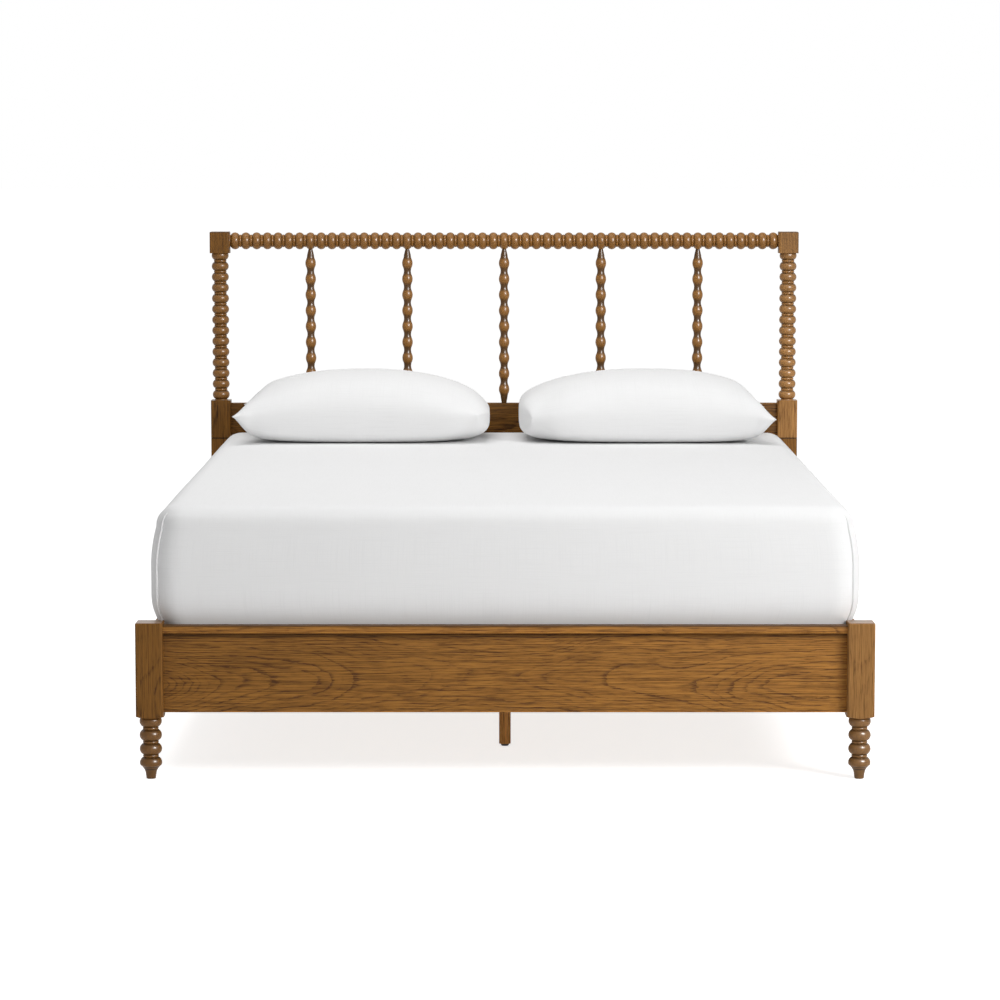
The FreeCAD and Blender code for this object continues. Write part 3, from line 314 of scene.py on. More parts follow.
# %% [markdown]
# ## Painted shade on turned pieces
# The grooves and the flanks of the beads are darkened with painted shade, and the small rings between the
# beads are lightened with a painted highlight. The distance from the lathe's axis tells one from the other,
# so it is all the mask that a turned piece needs, whichever way round it is seen.

# %% Groove shade
BEAD_GROOVE = (0.0180, 0.0222)
SPINDLE_GROOVE = (0.0097, 0.0140)
PAINTED_FLANK_SHADE = (0.30, 0.88)
RING_REACH = (0.0160, 0.0170)
PAINTED_RING_HIGHLIGHT = (0.30, 1.0)
RING_CROWN = 0.0177
TIP_REACH = (0.0140, 0.0155)
TIP_SHADE = (0.75, 0.0)


def many(tree, *factors):
    """The product of several sockets or numbers."""
    total = factors[0]
    for factor in factors[1:]:
        total = calc(tree, "MULTIPLY", total, factor)
    return total


def between(tree, share, first, second):
    """A number that goes from the first to the second as the share goes from 0 to 1."""
    return put(tree, "Mix", {0: share, 2: first, 3: second}, data_type="FLOAT").outputs[0]


def painted_groove_shade(tree, reach, groove):
    """Painted shade in grooves and up bead flanks; a painted highlight on rings, and a light leg tip."""
    flank = ramp(tree, reach, *groove, *PAINTED_FLANK_SHADE)
    if groove is SPINDLE_GROOVE:
        return flank
    inside = calc(tree, "LESS_THAN", reach, RING_CROWN)
    ring = many(tree, ramp(tree, reach, *RING_REACH, *PAINTED_RING_HIGHLIGHT), inside)
    tip = ramp(tree, reach, *TIP_REACH, *TIP_SHADE)
    return calc(tree, "MAXIMUM", tip, calc(tree, "MAXIMUM", flank, ring))


print("bead grooves", [round(reach * 1000, 1) for reach in BEAD_GROOVE], "mm from the axis")

# %% [markdown]
# ## Stained and lacquered oak
# The frame is stained a warm mid brown under a satin lacquer. Each piece is cut from its own place in
# the trunk and takes the stain in its own way, so each gets its own copy of the finish, with the pith put
# where that board's figure asks for it and a tone of its own. The beads, which were burnished on the lathe,
# shine more than the sawn flats of the blocks, and carry the painted shade of their grooves. End grain
# drinks stain, so the last millimetres of a turned piece are dark, which draws its joints; that band is
# partly a painted contact shadow. The top edges of the foot rail and its cap get a painted shadow, and
# their bottom edges a painted highlight.

# %% Oak finish
ALONG = {"x": (0, 0, 0), "y": (0, 0, math.pi / 2), "z": (0, -math.pi / 2, 0)}
STAIN_LIGHT = colour(152, 104, 46)
STAIN_PALE = colour(158, 114, 64)
STAIN_DARK = colour(74, 45, 17)
TURNED_FIGURE = 0.22
BLOCK_FIGURE = 0.8
FLAT_COAT = 0.03
TURNED_COAT = 0.20
END_COAT = 0.7
LACQUER_IOR = 1.78
LACQUER_ROUGHNESS = 0.28
WOOD_SPECULAR = 0.06
OAK_RING = 0.0052
BLOCK_REACH = (0.0250, 0.0262)
END_FACING = (0.96, 0.99)
END_DARK_BAND = 0.0030
END_GRAIN_AND_SHADOW = 0.3
END_FACE_SHADE = 0.9
ARRIS = 0.001
# painted shadow along top edges and painted highlight along bottom edges
PAINTED_TOP_SHADOW = 0.35
LOW_HIGHLIGHT_BAND = 0.004
PAINTED_LOW_HIGHLIGHT = 1.35


def oak_finish(name, along, centre, pith_depth, pith_height=0.0, swell=0.0, tone=1.0, lean=0.0,
               groove=None, block=1.0, stain=STAIN_LIGHT, shine=FLAT_COAT, end=None, cap=None):
    """Oak of one tone. Lean makes it lighter towards its far end, groove is where a turning is deep and
    block how much lighter its square parts are; end is half its length, and cap is half its height and how
    far down its painted top-edge shadow fades, above a painted highlight on its bottom edge."""
    finish, tree, shader = new_finish(name)
    here = put(tree, "TexCoord").outputs
    feeds = {"Vector": here["Object"], "Location": centre, "Rotation": ALONG[along]}
    local = put(tree, "Mapping", feeds, vector_type="TEXTURE").outputs[0]
    length, across, up = put(tree, "SeparateXYZ", {0: local}).outputs
    figure = place_group(tree, OAK, {"Vector": local, "Ring Width": OAK_RING, "Pith Depth": pith_depth,
                                     "Pith Height": pith_height, "Swell": swell})
    dark = figure["Dark"]
    shade = ramp(tree, figure["Tone"], 0.25, 0.75, 0.90 * tone, 1.08 * tone)
    if lean:
        shade = many(tree, shade, ramp(tree, length, -0.75, 0.75, 1 - lean, 1 + lean))
    if groove:
        reach = calc(tree, "SQRT", calc(tree, "ADD", many(tree, across, across), many(tree, up, up)))
        facing = put(tree, "SeparateXYZ", {0: here["Normal"]}).outputs["xyz".index(along)]
        end_face = ramp(tree, calc(tree, "ABSOLUTE", facing), *END_FACING)
        flat = calc(tree, "MAXIMUM", ramp(tree, reach, *BLOCK_REACH), end_face)
        # painted shade in the grooves and up the bead flanks, painted highlight on the rings between beads
        shade = many(tree, shade, between(tree, flat, painted_groove_shade(tree, reach, groove), block))
        shine = between(tree, end_face, between(tree, flat, TURNED_COAT, FLAT_COAT), END_COAT)
        dark = many(tree, dark, between(tree, flat, TURNED_FIGURE, BLOCK_FIGURE))
    if end:
        # dark end grain at the joints, partly a painted contact shadow where the piece meets the next
        far = calc(tree, "ABSOLUTE", length)
        edge = ramp(tree, far, end - END_DARK_BAND, end - ARRIS, 1.0, END_GRAIN_AND_SHADOW)
        shade = many(tree, shade, between(tree, end_face, edge, END_FACE_SHADE))
    if cap:
        # painted shadow along the top edge, painted highlight along the bottom edge
        top, shadow_fade = cap
        shade = many(tree, shade, ramp(tree, up, top - shadow_fade, top - ARRIS, 1.0, PAINTED_TOP_SHADOW),
                     ramp(tree, up, ARRIS - top, LOW_HIGHLIGHT_BAND - top, PAINTED_LOW_HIGHLIGHT, 1.0))
    wood = blend(tree, dark, stain, STAIN_DARK)
    wood = put(tree, "VectorMath", {0: wood, "Scale": shade}, operation="SCALE").outputs[0]
    gloss = calc(tree, "MULTIPLY_ADD", figure["Pores"], 0.16, 0.42)
    height = calc(tree, "MULTIPLY_ADD", figure["Dark"], -0.4, many(tree, figure["Pores"], -0.6))
    feed(tree, shader, base_color=wood, roughness=gloss, normal=bump(tree, height, 0.0003))
    feed(tree, shader, specular_ior_level=WOOD_SPECULAR, coat_weight=shine,
         coat_roughness=LACQUER_ROUGHNESS, coat_ior=LACQUER_IOR)
    return finish


print("oak finish ready, rings", OAK_RING * 1000, "mm")

# %% [markdown]
# ### Dressing the oak pieces
# A piece of the frame keeps its mesh and only changes its material. The posts took the stain unevenly, left
# and right, so the tables hold a tone for each piece, and the pith lies deep behind a turned piece, which
# gives it the straight lines of quarter-sawn stock.

# %% Oak pieces
def dress(node, finish):
    mesh = nodes[node].data
    mesh.materials.clear()
    mesh.materials.append(finish)


def middle(node):
    low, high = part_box(node)
    return (low + high) / 2


def half_size(node):
    low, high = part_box(node)
    return (high - low) / 2


def dress_turned(node, along, depth, height, tone, groove, dark_ends=True, **more):
    end = half_size(node)["xyz".index(along)] if dark_ends else None
    dress(node, oak_finish("oak_" + node, along, middle(node), depth, height, tone=tone, groove=groove,
                           end=end, **more))


# node, depth and height of the pith, swell, tone and lean
BOARDS = (("foot_rail", 0.062, 0.020, 0.12, 1.25, 0.14), ("headboard_panel", 0.07, -0.01, 0.06, 0.78, 0.0),
          ("head_cross_rail", 0.09, 0.0, 0.05, 1.0, 0.0))
# how far down the painted shadow reaches: under the cap on the rail, under the mattress on the cap
RAIL_SHADOW_FADE = 0.020
CAP_SHADOW_FADE = 0.0045
CAP_COAT = 0.05
for node, depth, height, swell, tone, lean in BOARDS:
    cap = (half_size(node).z, RAIL_SHADOW_FADE) if node == "foot_rail" else None
    dress(node, oak_finish("oak_" + node, "x", middle(node), depth, height, swell, tone, lean, cap=cap))
node = "foot_rail_cap"
dress(node, oak_finish("oak_" + node, "x", middle(node), 0.16, 0.02, tone=1.5, shine=CAP_COAT,
                       cap=(half_size(node).z, CAP_SHADOW_FADE)))
dress_turned("headboard_top_rail", "x", 0.16, 0.05, 1.05, BEAD_GROOVE)
SIDES = (("left", 0.21, STAIN_LIGHT), ("right", 0.17, STAIN_PALE))
# tone of the beads, of the blocks against them, and lean
HEAD_POST = {"left": (0.90, 0.81, 0.0), "right": (1.30, 0.97, -0.35)}
FOOT_POST = {"left": (0.66, 1.16, 0.0), "right": (0.78, 1.37, 0.0)}
HEAD_LEG = {"left": 0.85, "right": 1.0}
for side, depth, stain in SIDES:
    node = "side_rail_" + side
    dress(node, oak_finish("oak_" + node, "y", middle(node), 0.07, 0, 0.05, tone=1.1))
    for post, height, looks in (("head_post_", 0.06, HEAD_POST), ("foot_post_", 0.03, FOOT_POST)):
        tone, block, lean = looks[side]
        dress_turned(post + side, "z", depth, height, tone, BEAD_GROOVE, looks is HEAD_POST,
                     block=block, lean=lean, stain=stain)
    dress_turned("head_leg_" + side, "z", depth, 0.09, HEAD_LEG[side], BEAD_GROOVE)
for number in range(1, 6):
    dress_turned(f"spindle_{number}", "z", 0.10 + 0.02 * number, 0.02, 1.1, SPINDLE_GROOVE)
print("oak pieces dressed:", sum(m.name.startswith("oak_") for m in bpy.data.materials))

# %% [markdown]
# ## Plain pine
# Slats, ledgers and the centre beam hide under the mattress, so they are plain sawn pine: the same growth
# rings as in the oak, wider apart, pale and unstained, and no lacquer.

# %% Pine finish
PINE_LIGHT = colour(214, 182, 138)
PINE_DARK = colour(176, 132, 84)
PINE_RING = 0.0068


def pine_finish(name, along, centre, pith_depth):
    finish, tree, shader = new_finish(name)
    spot = put(tree, "TexCoord").outputs["Object"]
    feeds = {"Vector": spot, "Location": centre, "Rotation": ALONG[along]}
    local = put(tree, "Mapping", feeds, vector_type="TEXTURE").outputs[0]
    figure = place_group(tree, OAK, {"Vector": local, "Ring Width": PINE_RING, "Pith Depth": pith_depth,
                                     "Pith Height": 0.01, "Swell": 0.03})
    wood = blend(tree, figure["Dark"], PINE_LIGHT, PINE_DARK)
    shade = ramp(tree, figure["Tone"], 0.25, 0.75, 0.90, 1.06)
    wood = put(tree, "VectorMath", {0: wood, "Scale": shade}, operation="SCALE").outputs[0]
    rough = calc(tree, "MULTIPLY_ADD", figure["Tone"], 0.16, 0.58)
    feed(tree, shader, base_color=wood, roughness=rough, normal=bump(tree, figure["Dark"], 0.0002, -1.0))
    return finish


print("pine finish ready, rings", PINE_RING * 1000, "mm")

# %% [markdown]
# ## Steel, plastic and webbing
# Hooks, plates and screws are zinc-plated steel with the fine lines that rolling leaves, the leveller pads
# are moulded plastic with a fine grain and scuffs, and the slat straps are woven webbing, whose ribs are two
# waves across each other.

# %% Steel, plastic and webbing
WEBBING_RIB = 0.0016
WEBBING_PICK = 0.0021


def steel_finish():
    finish, tree, shader = new_finish("zinc_plated_steel")
    spot = put(tree, "TexCoord").outputs["Object"]
    lines = cloud(tree, stretch(tree, spot, (900, 900, 60)), 3.0, 0.6).outputs[0]
    bloom = cloud(tree, stretch(tree, spot, (60, 60, 60)), 3.0).outputs[0]
    tint = blend(tree, bloom, colour(122, 124, 127), colour(150, 149, 145))
    rough = calc(tree, "MULTIPLY_ADD", lines, 0.22, 0.26)
    feed(tree, shader, base_color=tint, roughness=rough, metallic=1.0, normal=bump(tree, lines, 0.00005))
    return finish


def pad_finish():
    finish, tree, shader = new_finish("leveller_plastic")
    spot = put(tree, "TexCoord").outputs["Object"]
    grain = cloud(tree, stretch(tree, spot, (1600, 1600, 1600)), 2.0).outputs[0]
    scuff = cloud(tree, stretch(tree, spot, (240, 240, 90)), 3.0).outputs[0]
    tint = blend(tree, ramp(tree, scuff, 0.45, 0.75), colour(30, 30, 31), colour(52, 51, 50))
    rough = calc(tree, "MULTIPLY_ADD", scuff, 0.2, 0.45)
    feed(tree, shader, base_color=tint, roughness=rough, normal=bump(tree, grain, 0.00008))
    return finish


def webbing_finish():
    finish, tree, shader = new_finish("strap_webbing")
    x, y, _ = put(tree, "SeparateXYZ", {0: put(tree, "TexCoord").outputs["Object"]}).outputs
    ribs = calc(tree, "SINE", calc(tree, "MULTIPLY", x, 2 * math.pi / WEBBING_RIB))
    rows = calc(tree, "MULTIPLY", y, 2 * math.pi / WEBBING_PICK)
    picks = calc(tree, "SINE", calc(tree, "MULTIPLY_ADD", ribs, 0.9, rows))
    height = calc(tree, "MULTIPLY_ADD", picks, 0.5, calc(tree, "ABSOLUTE", ribs))
    # the low parts of the weave are darker: painted shade in its hollows
    tint = blend(tree, ramp(tree, height, -0.5, 1.4), colour(38, 38, 40), colour(78, 78, 80))
    feed(tree, shader, base_color=tint, roughness=0.85, normal=bump(tree, height, 0.0003))
    return finish


STEEL = steel_finish()
PAD = pad_finish()
WEBBING = webbing_finish()
print("finishes ready:", STEEL.name, PAD.name, WEBBING.name)

# %% [markdown]
# ### Dressing the hidden pieces
# Each slat is another board, so the pith moves from slat to slat. The centre legs can be seen under the
# bed; they are stained like the frame but made much lighter, a painted light for the shade under the bed.

# %% Hidden pieces
for number in range(1, 13):
    node = f"slat_{number:02d}"
    dress(node, pine_finish("pine_" + node, "x", middle(node), 0.02 + 0.017 * (number * 5 % 7)))
dress("center_beam", pine_finish("pine_center_beam", "y", middle("center_beam"), 0.06))
dress("dowel_pins", pine_finish("pine_dowel_pins", "z", middle("dowel_pins"), 0.03))
for side in ("left", "right"):
    dress("ledger_" + side, pine_finish("pine_ledger_" + side, "y", middle("ledger_" + side), 0.05))
    dress("slat_strap_" + side, WEBBING)
for place in ("front", "middle", "rear"):
    leg = "center_leg_" + place
    # the high tone is painted light, lifting the legs out of the shade under the bed
    dress(leg, oak_finish("oak_" + leg, "z", middle(leg), 0.15, 0.01, tone=2.8, stain=STAIN_PALE))
    dress("leveler_pad_" + place, PAD)
    dress("leveler_stud_" + place, STEEL)
for node in ("beam_hangers", "rail_hook_plates", "post_slot_plates", "headboard_joining_plates",
             "wood_screws", "leveler_inserts"):
    dress(node, STEEL)
print("pine pieces dressed:", sum(m.name.startswith("pine_") for m in bpy.data.materials))

# %% [markdown]
# ## Cotton
# Bed linen is a plain weave: each thread goes over one and under the next, and here and there a thicker
# thread runs through. The group below makes that relief from the piece's own cut map, which is laid out
# in metres along the threads, so it turns the corner of the mattress with the cloth.

# %% Plain weave group
def plain_weave():
    takes = [("Vector", "Vector"), ("Thread", "Float")]
    tree, takes_in, gives_out = new_group("plain_weave", takes, ["Height", "Slub"])
    place = takes_in["Vector"]
    across, along, _ = put(tree, "SeparateXYZ", {0: place}).outputs
    turn = calc(tree, "DIVIDE", math.pi, takes_in["Thread"])
    warp = calc(tree, "SINE", calc(tree, "MULTIPLY", across, turn))
    weft = calc(tree, "SINE", calc(tree, "MULTIPLY", along, turn))
    slub_warp = cloud(tree, stretch(tree, place, (700, 9, 1)), 2.0).outputs[0]
    slub_weft = cloud(tree, stretch(tree, place, (9, 700, 1)), 2.0).outputs[0]
    slub = calc(tree, "MAXIMUM", slub_warp, slub_weft)
    height = calc(tree, "MULTIPLY_ADD", calc(tree, "MULTIPLY", warp, weft), 0.5, slub)
    tree.links.new(height, gives_out["Height"])
    tree.links.new(slub, gives_out["Slub"])
    return tree


WEAVE = plain_weave()
print("plain weave:", len(WEAVE.nodes), "nodes")

# %% [markdown]
# ### Cotton finishes
# Washed cotton is matt and almost white, with a faint sheen where one looks along the threads. Sheet and
# pillowcases are the same white; the mattress's ticking, under the sheet, is a little yellower.

# %% Cotton finishes
COTTON_THREAD = 0.0009
COTTON_WHITE = colour(236, 236, 236)
COTTON_SHADE = colour(232, 232, 232)


def cotton_finish(name, white, shade):
    finish, tree, shader = new_finish(name)
    cut = put(tree, "UVMap", uv_map="cut").outputs[0]
    cloth = place_group(tree, WEAVE, {"Vector": cut, "Thread": COTTON_THREAD})
    tint = blend(tree, ramp(tree, cloth["Slub"], 0.45, 0.75), white, shade)
    rough = calc(tree, "MULTIPLY_ADD", cloth["Slub"], 0.12, 0.78)
    feed(tree, shader, base_color=tint, roughness=rough, normal=bump(tree, cloth["Height"], 0.00006, 0.5))
    feed(tree, shader, sheen_weight=0.12, sheen_roughness=0.5, specular_ior_level=0.06)
    return finish


SHEET_COTTON = cotton_finish("sheet_cotton", COTTON_WHITE, COTTON_SHADE)
PILLOW_COTTON = cotton_finish("pillow_cotton", COTTON_WHITE, COTTON_SHADE)
TICKING = cotton_finish("mattress_ticking", colour(226, 224, 218), colour(212, 209, 201))
print("cotton ready, thread", COTTON_THREAD * 1000, "mm")

# %% [markdown]
# ## Helpers for soft pieces
# A soft piece starts as a block or a bag with even cells. `square_to_round` turns the square corner of
# such a grid into a quarter disc without cutting any cell, and `new_piece` wraps a finished bmesh as an
# object that stands at the origin, so that its place stays in its mesh.

# %% Soft piece helpers
def clamp(value, low, high):
    return max(low, min(high, value))


def square_to_round(a, b):
    """Moves a point of a square corner on to the arc through its larger coordinate."""
    length = math.hypot(a, b)
    if length < 1e-9:
        return a, b
    scale = max(abs(a), abs(b)) / length
    return a * scale, b * scale


def new_piece(name, bm, finish, smooth=True):
    mesh = bpy.data.meshes.new(name)
    bm.to_mesh(mesh)
    bm.free()
    for face in mesh.polygons:
        face.use_smooth = smooth
    mesh.materials.append(finish)
    piece = bpy.data.objects.new(name, mesh)
    bpy.context.scene.collection.objects.link(piece)
    return piece


def cut_cells(bm, axis, cell):
    """Cuts every edge along one axis into cells of about the same length."""
    edges = [e for e in bm.edges if abs((e.verts[1].co - e.verts[0].co).normalized()[axis]) > 0.9]
    cuts = max(round(edges[0].calc_length() / cell) - 1, 0)
    if cuts:
        bmesh.ops.subdivide_edges(bm, edges=edges, cuts=cuts, use_grid_fill=True)


def celled_block(low, high, cell):
    bm = bmesh.new()
    bmesh.ops.create_cube(bm, size=1)
    bmesh.ops.scale(bm, vec=high - low, verts=bm.verts)
    bmesh.ops.translate(bm, vec=(low + high) / 2, verts=bm.verts)
    for axis in range(3):
        cut_cells(bm, axis, cell)
    return bm


print("soft piece helpers ready")

# %% [markdown]
# ## The mattress and its fitted sheet
# The mattress is a padded block: round upright corners, a soft top edge, and sides that swell out above
# the boards that hold them in. Both it and the sheet come from one celled block, which is bent into that
# form below. First comes the block itself, measured from the mattress's solid less its swellings.

# %% Mattress block
SIDE_BULGE = 0.022
FOOT_BULGE = 0.012
BULGE_RISE = 0.070
BULGE_FALL = 0.087
SHOULDER_SHARE = 0.45
CORNER_ROUND = 0.062
EDGE_ROUND = 0.044
BASE_ROUND = 0.014
CROWN = 0.003
CROWN_INSET = 0.114

mattress_low, mattress_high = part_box("mattress")
block_low = Vector((mattress_low.x + SIDE_BULGE, mattress_low.y + FOOT_BULGE, mattress_low.z))
block_high = Vector((mattress_high.x - SIDE_BULGE, mattress_high.y, mattress_high.z))
block_middle = (block_low + block_high) / 2
block_half = (block_high - block_low) / 2
side_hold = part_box("side_rail_left")[1].z
foot_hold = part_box("foot_rail_cap")[1].z
print("mattress block", [round(v, 3) for v in block_half * 2])

# %% [markdown]
# ### Bending the block
# `mould` takes a point of the block on to the mattress's surface: it rounds the upright corners, then the
# edge above or below, lets the top sink a little towards its rim, and swells the sides. A cloth simulation
# could do this too, but a tight mattress has hardly a fold to win by it.

# %% Mattress form
def bulge_share(height, start):
    shoulder = block_high.z - CROWN - EDGE_ROUND
    risen = clamp((height - start) / BULGE_RISE, 0, 1)
    fallen = clamp((height - shoulder + BULGE_FALL) / BULGE_FALL, 0, 1)
    return math.sin(math.pi / 2 * risen) * math.cos(math.acos(SHOULDER_SHARE) * fallen)


def round_edge(reach, past, radius):
    """Rounds the edge between a wall and a level face; past is how far a point is beyond the start."""
    if past <= 0 or reach <= CORNER_ROUND - radius:
        return reach, past
    out, up = square_to_round(reach - CORNER_ROUND + radius, past)
    return CORNER_ROUND - radius + out, up


def mould(point):
    """Bends a point on the plain block on to the mattress's surface."""
    flat = point - block_middle
    core_x = clamp(flat.x, CORNER_ROUND - block_half.x, block_half.x - CORNER_ROUND)
    core_y = clamp(flat.y, CORNER_ROUND - block_half.y, block_half.y - CORNER_ROUND)
    out_x, out_y = square_to_round(flat.x - core_x, flat.y - core_y)
    reach = math.hypot(out_x, out_y)
    edge_start, base_end = block_high.z - EDGE_ROUND, block_low.z + BASE_ROUND
    height = point.z
    if height > edge_start:
        new_reach, up = round_edge(reach, height - edge_start, EDGE_ROUND)
        inset = min(block_half.x - abs(flat.x), block_half.y - abs(flat.y))
        drop = CROWN * (1 - clamp(inset / CROWN_INSET, 0, 1)) ** 2 * (height - edge_start) / EDGE_ROUND
        height = edge_start + up - drop
    else:
        new_reach, down = round_edge(reach, base_end - height, BASE_ROUND)
        height = base_end - down
    if reach > 1e-9:
        out_x, out_y = out_x * new_reach / reach, out_y * new_reach / reach
    x = (core_x + out_x) * (1 + SIDE_BULGE * bulge_share(height, side_hold) / block_half.x)
    y = core_y + out_y
    if y < 0:
        y *= 1 + FOOT_BULGE * bulge_share(height, foot_hold) / block_half.y
    return Vector((block_middle.x + x, block_middle.y + y, height))


def lay_cut_map(bm):
    """Stores each face's place on the flat cloth, in metres along the threads."""
    layer = bm.loops.layers.uv.new("cut")
    bm.normal_update()
    threads = {0: (1, 2), 1: (0, 2), 2: (0, 1)}
    for face in bm.faces:
        axis = max(range(3), key=lambda i: abs(face.normal[i]))
        across, along = threads[axis]
        for loop in face.loops:
            loop[layer].uv = (loop.vert.co[across], loop.vert.co[along])


print("mattress swells", SIDE_BULGE * 1000, "mm at its sides and", FOOT_BULGE * 1000, "mm at its foot")

# %% [markdown]
# ### The mattress
# Under the sheet the mattress shows nowhere, but it is there when someone takes the sheet away. It is the
# moulded block with wide cells, drawn in by a few millimetres to leave the cloth its room.

# %% Mattress
CORE_CELL = 0.03
HIDDEN_INSET = 0.004


def mattress_core():
    bm = celled_block(block_low, block_high, CORE_CELL)
    lay_cut_map(bm)
    for vert in bm.verts:
        vert.co = mould(vert.co)
    bm.normal_update()
    for vert in bm.verts:
        vert.co -= vert.normal * HIDDEN_INSET
    return new_piece("mattress_core", bm, TICKING)


core = mattress_core()
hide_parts("mattress")
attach(core, "bedding_mattress")
print("mattress", len(core.data.polygons), "faces")

# %% [markdown]
# ### The sheet
# A fitted sheet is pulled tight, so it takes the mattress's form a hair outside. It has no bottom: the cells
# under the mattress are deleted but for the tucked hem. Pulled cloth is never quite flat, so slow waves of
# up to two millimetres run through it, always inwards, so that the pillows keep their place.

# %% Fitted sheet
SHEET_CELL = 0.012
SHEET_OUT = 0.0013
SHEET_THICKNESS = 0.001
HEM_TUCK = 0.13
SHEET_WAVE = 0.0018
HEM_LIFT = 0.0002


def hem_faces(bm):
    """The faces under the mattress that are further in than the hem."""
    inner = block_half - Vector((HEM_TUCK, HEM_TUCK, 0))
    under = [f for f in bm.faces if f.normal.z < -0.9]
    return [f for f in under if abs(f.calc_center_median().x - block_middle.x) < inner.x
            and abs(f.calc_center_median().y - block_middle.y) < inner.y]


def corner_columns(bm):
    """For each corner of the block, its upright row of vertices from the bottom up."""
    columns = []
    for side_x in (-1, 1):
        for side_y in (-1, 1):
            corner = block_middle + Vector((side_x * block_half.x, side_y * block_half.y, 0))
            row = [v for v in bm.verts if (v.co - corner).xy.length < 1e-5]
            columns.append(((side_x, side_y), sorted(row, key=lambda v: v.co.z)))
    return columns


def pulled_wave(place):
    slow = noise.noise(place * 4.3)
    quick = noise.noise(place * 13 + Vector((7, 3, 1)))
    return SHEET_WAVE * (0.5 + 0.4 * slow + 0.1 * quick)


def fitted_sheet():
    bm = celled_block(block_low, block_high, SHEET_CELL)
    lay_cut_map(bm)
    bmesh.ops.delete(bm, geom=hem_faces(bm), context="FACES")
    columns = corner_columns(bm)
    for vert in bm.verts:
        vert.co = mould(vert.co)
    bm.normal_update()
    lowest = block_low.z + HEM_LIFT
    for vert in bm.verts:
        vert.co += vert.normal * (SHEET_OUT - pulled_wave(vert.co))
        vert.co.z = max(vert.co.z, lowest)
    bm.normal_update()
    seams = [(way, [v.co.copy() for v in row]) for way, row in columns]
    piece = new_piece("fitted_sheet_cloth", bm, SHEET_COTTON)
    wall = piece.modifiers.new("cloth", "SOLIDIFY")
    wall.thickness = SHEET_THICKNESS
    wall.offset = -1
    return piece, seams


sheet, seam_rows = fitted_sheet()
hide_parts("fitted_sheet")
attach(sheet, "bedding_mattress")
print("sheet", len(sheet.data.polygons), "faces")

# %% [markdown]
# ### Corner seams
# Where the two sides of the sheet meet at a corner, they are sewn together and the allowance stands out
# as a thin double ridge. Each ridge is its corner's row of points, extruded outwards and thickened.

# %% Corner seams
SEAM_HEIGHT = 0.0045
SEAM_THICKNESS = 0.0016
SEAM_END = 0.030
SEAM_ROOT = 0.001
SEAM_TOP_GAP = 0.010


def seam_ridge(bm, way, row):
    outwards = Vector((way[0], way[1], 0)).normalized()
    top = block_high.z - SEAM_TOP_GAP
    points = [p for p in row if p.z < top]
    verts = [bm.verts.new(p - outwards * SEAM_ROOT) for p in points]
    edges = [bm.edges.new(pair) for pair in zip(verts, verts[1:])]
    made = bmesh.ops.extrude_edge_only(bm, edges=edges)["geom"]
    rim = [item for item in made if isinstance(item, bmesh.types.BMVert)]
    for vert in rim:
        share = clamp((top - vert.co.z) / SEAM_END, 0.15, 1)
        vert.co += outwards * (SEAM_HEIGHT * share + SEAM_ROOT)


def corner_seams():
    bm = bmesh.new()
    for way, row in seam_rows:
        seam_ridge(bm, way, row)
    bmesh.ops.recalc_face_normals(bm, faces=bm.faces)
    layer = bm.loops.layers.uv.new("cut")
    for face in bm.faces:
        for loop in face.loops:
            loop[layer].uv = (loop.vert.co.x + loop.vert.co.y, loop.vert.co.z)
    piece = new_piece("sheet_corner_seams", bm, SHEET_COTTON)
    fold = piece.modifiers.new("fold", "SOLIDIFY")
    fold.thickness = SEAM_THICKNESS
    fold.offset = 0
    return piece


seams = corner_seams()
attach(seams, "bedding_mattress")

# %% [markdown]
# ## The pillows
# A pillow is a bag that its filling blows up. The case is sewn along its outer end and its two long sides,
# so there the bag narrows to a seam with an ear at each corner; at its open inner end the filling makes a
# blunt, round end. A flat bag would buckle when it is blown up, as real pillows do until they are plumped,
# so the bag starts as a loose dome, and Blender's cloth solver fills it to a set volume with gravity off.

# %% Pillow bag
BAG_CELL = 0.0105
BAG_SPARE = 0.02
BAG_HALF_HEIGHT = 0.085
CREST = 0.06
BLUNT_BELOW = 0.28
SIDE_DRAW = 0.06
END_DRAW = 0.035
INNER_CORNER = 0.13


def end_rise(share, blunt, power):
    """How far the bag rises at a share of its length, from -1 at the outer end to 1 at the inner one."""
    if share < CREST:
        return math.sqrt(max(1 - ((CREST - share) / (1 + CREST)) ** power, 0))
    return math.sqrt(1 - (1 - blunt ** 2) * ((share - CREST) / (1 - CREST)) ** 2)


def round_inner_corner(vert, half, inner):
    out_x = vert.co.x * inner - (half.x - INNER_CORNER)
    out_y = abs(vert.co.y) - (half.y - INNER_CORNER)
    if out_x > 0 and out_y > 0:
        new_x, new_y = square_to_round(out_x, out_y)
        vert.co.x += inner * (new_x - out_x)
        vert.co.y *= 1 + (new_y - out_y) / abs(vert.co.y)


def pillow_bag(width, depth, inner, blunt_above, power):
    """A celled block pulled to a dome above and below its seam; inner is the sign of x at the open end."""
    half = Vector((width / 2, depth / 2, BAG_HALF_HEIGHT))
    bm = celled_block(-half, half, BAG_CELL)
    lay_cut_map(bm)
    for vert in bm.verts:
        along, across = vert.co.x * inner / half.x, vert.co.y / half.y
        blunt = blunt_above if vert.co.z > 0 else BLUNT_BELOW
        vert.co.z *= end_rise(along, blunt, power) * math.sqrt(max(1 - abs(across) ** 2.4, 0))
        vert.co.y *= 1 - SIDE_DRAW * (1 - along ** 2)
        vert.co.x += inner * END_DRAW * (1 - across ** 2) * ((1 - along) / 2) ** 2
        round_inner_corner(vert, half, inner)
    bmesh.ops.remove_doubles(bm, verts=bm.verts, dist=2e-4)
    seam = bm.verts.layers.int.new("seam")
    for vert in bm.verts:
        vert[seam] = abs(vert.co.z) < 1e-6 and any(e.calc_face_angle(0) > 0.5 for e in vert.link_edges)
    return bm


print("pillow bag cells", BAG_CELL * 1000, "mm")

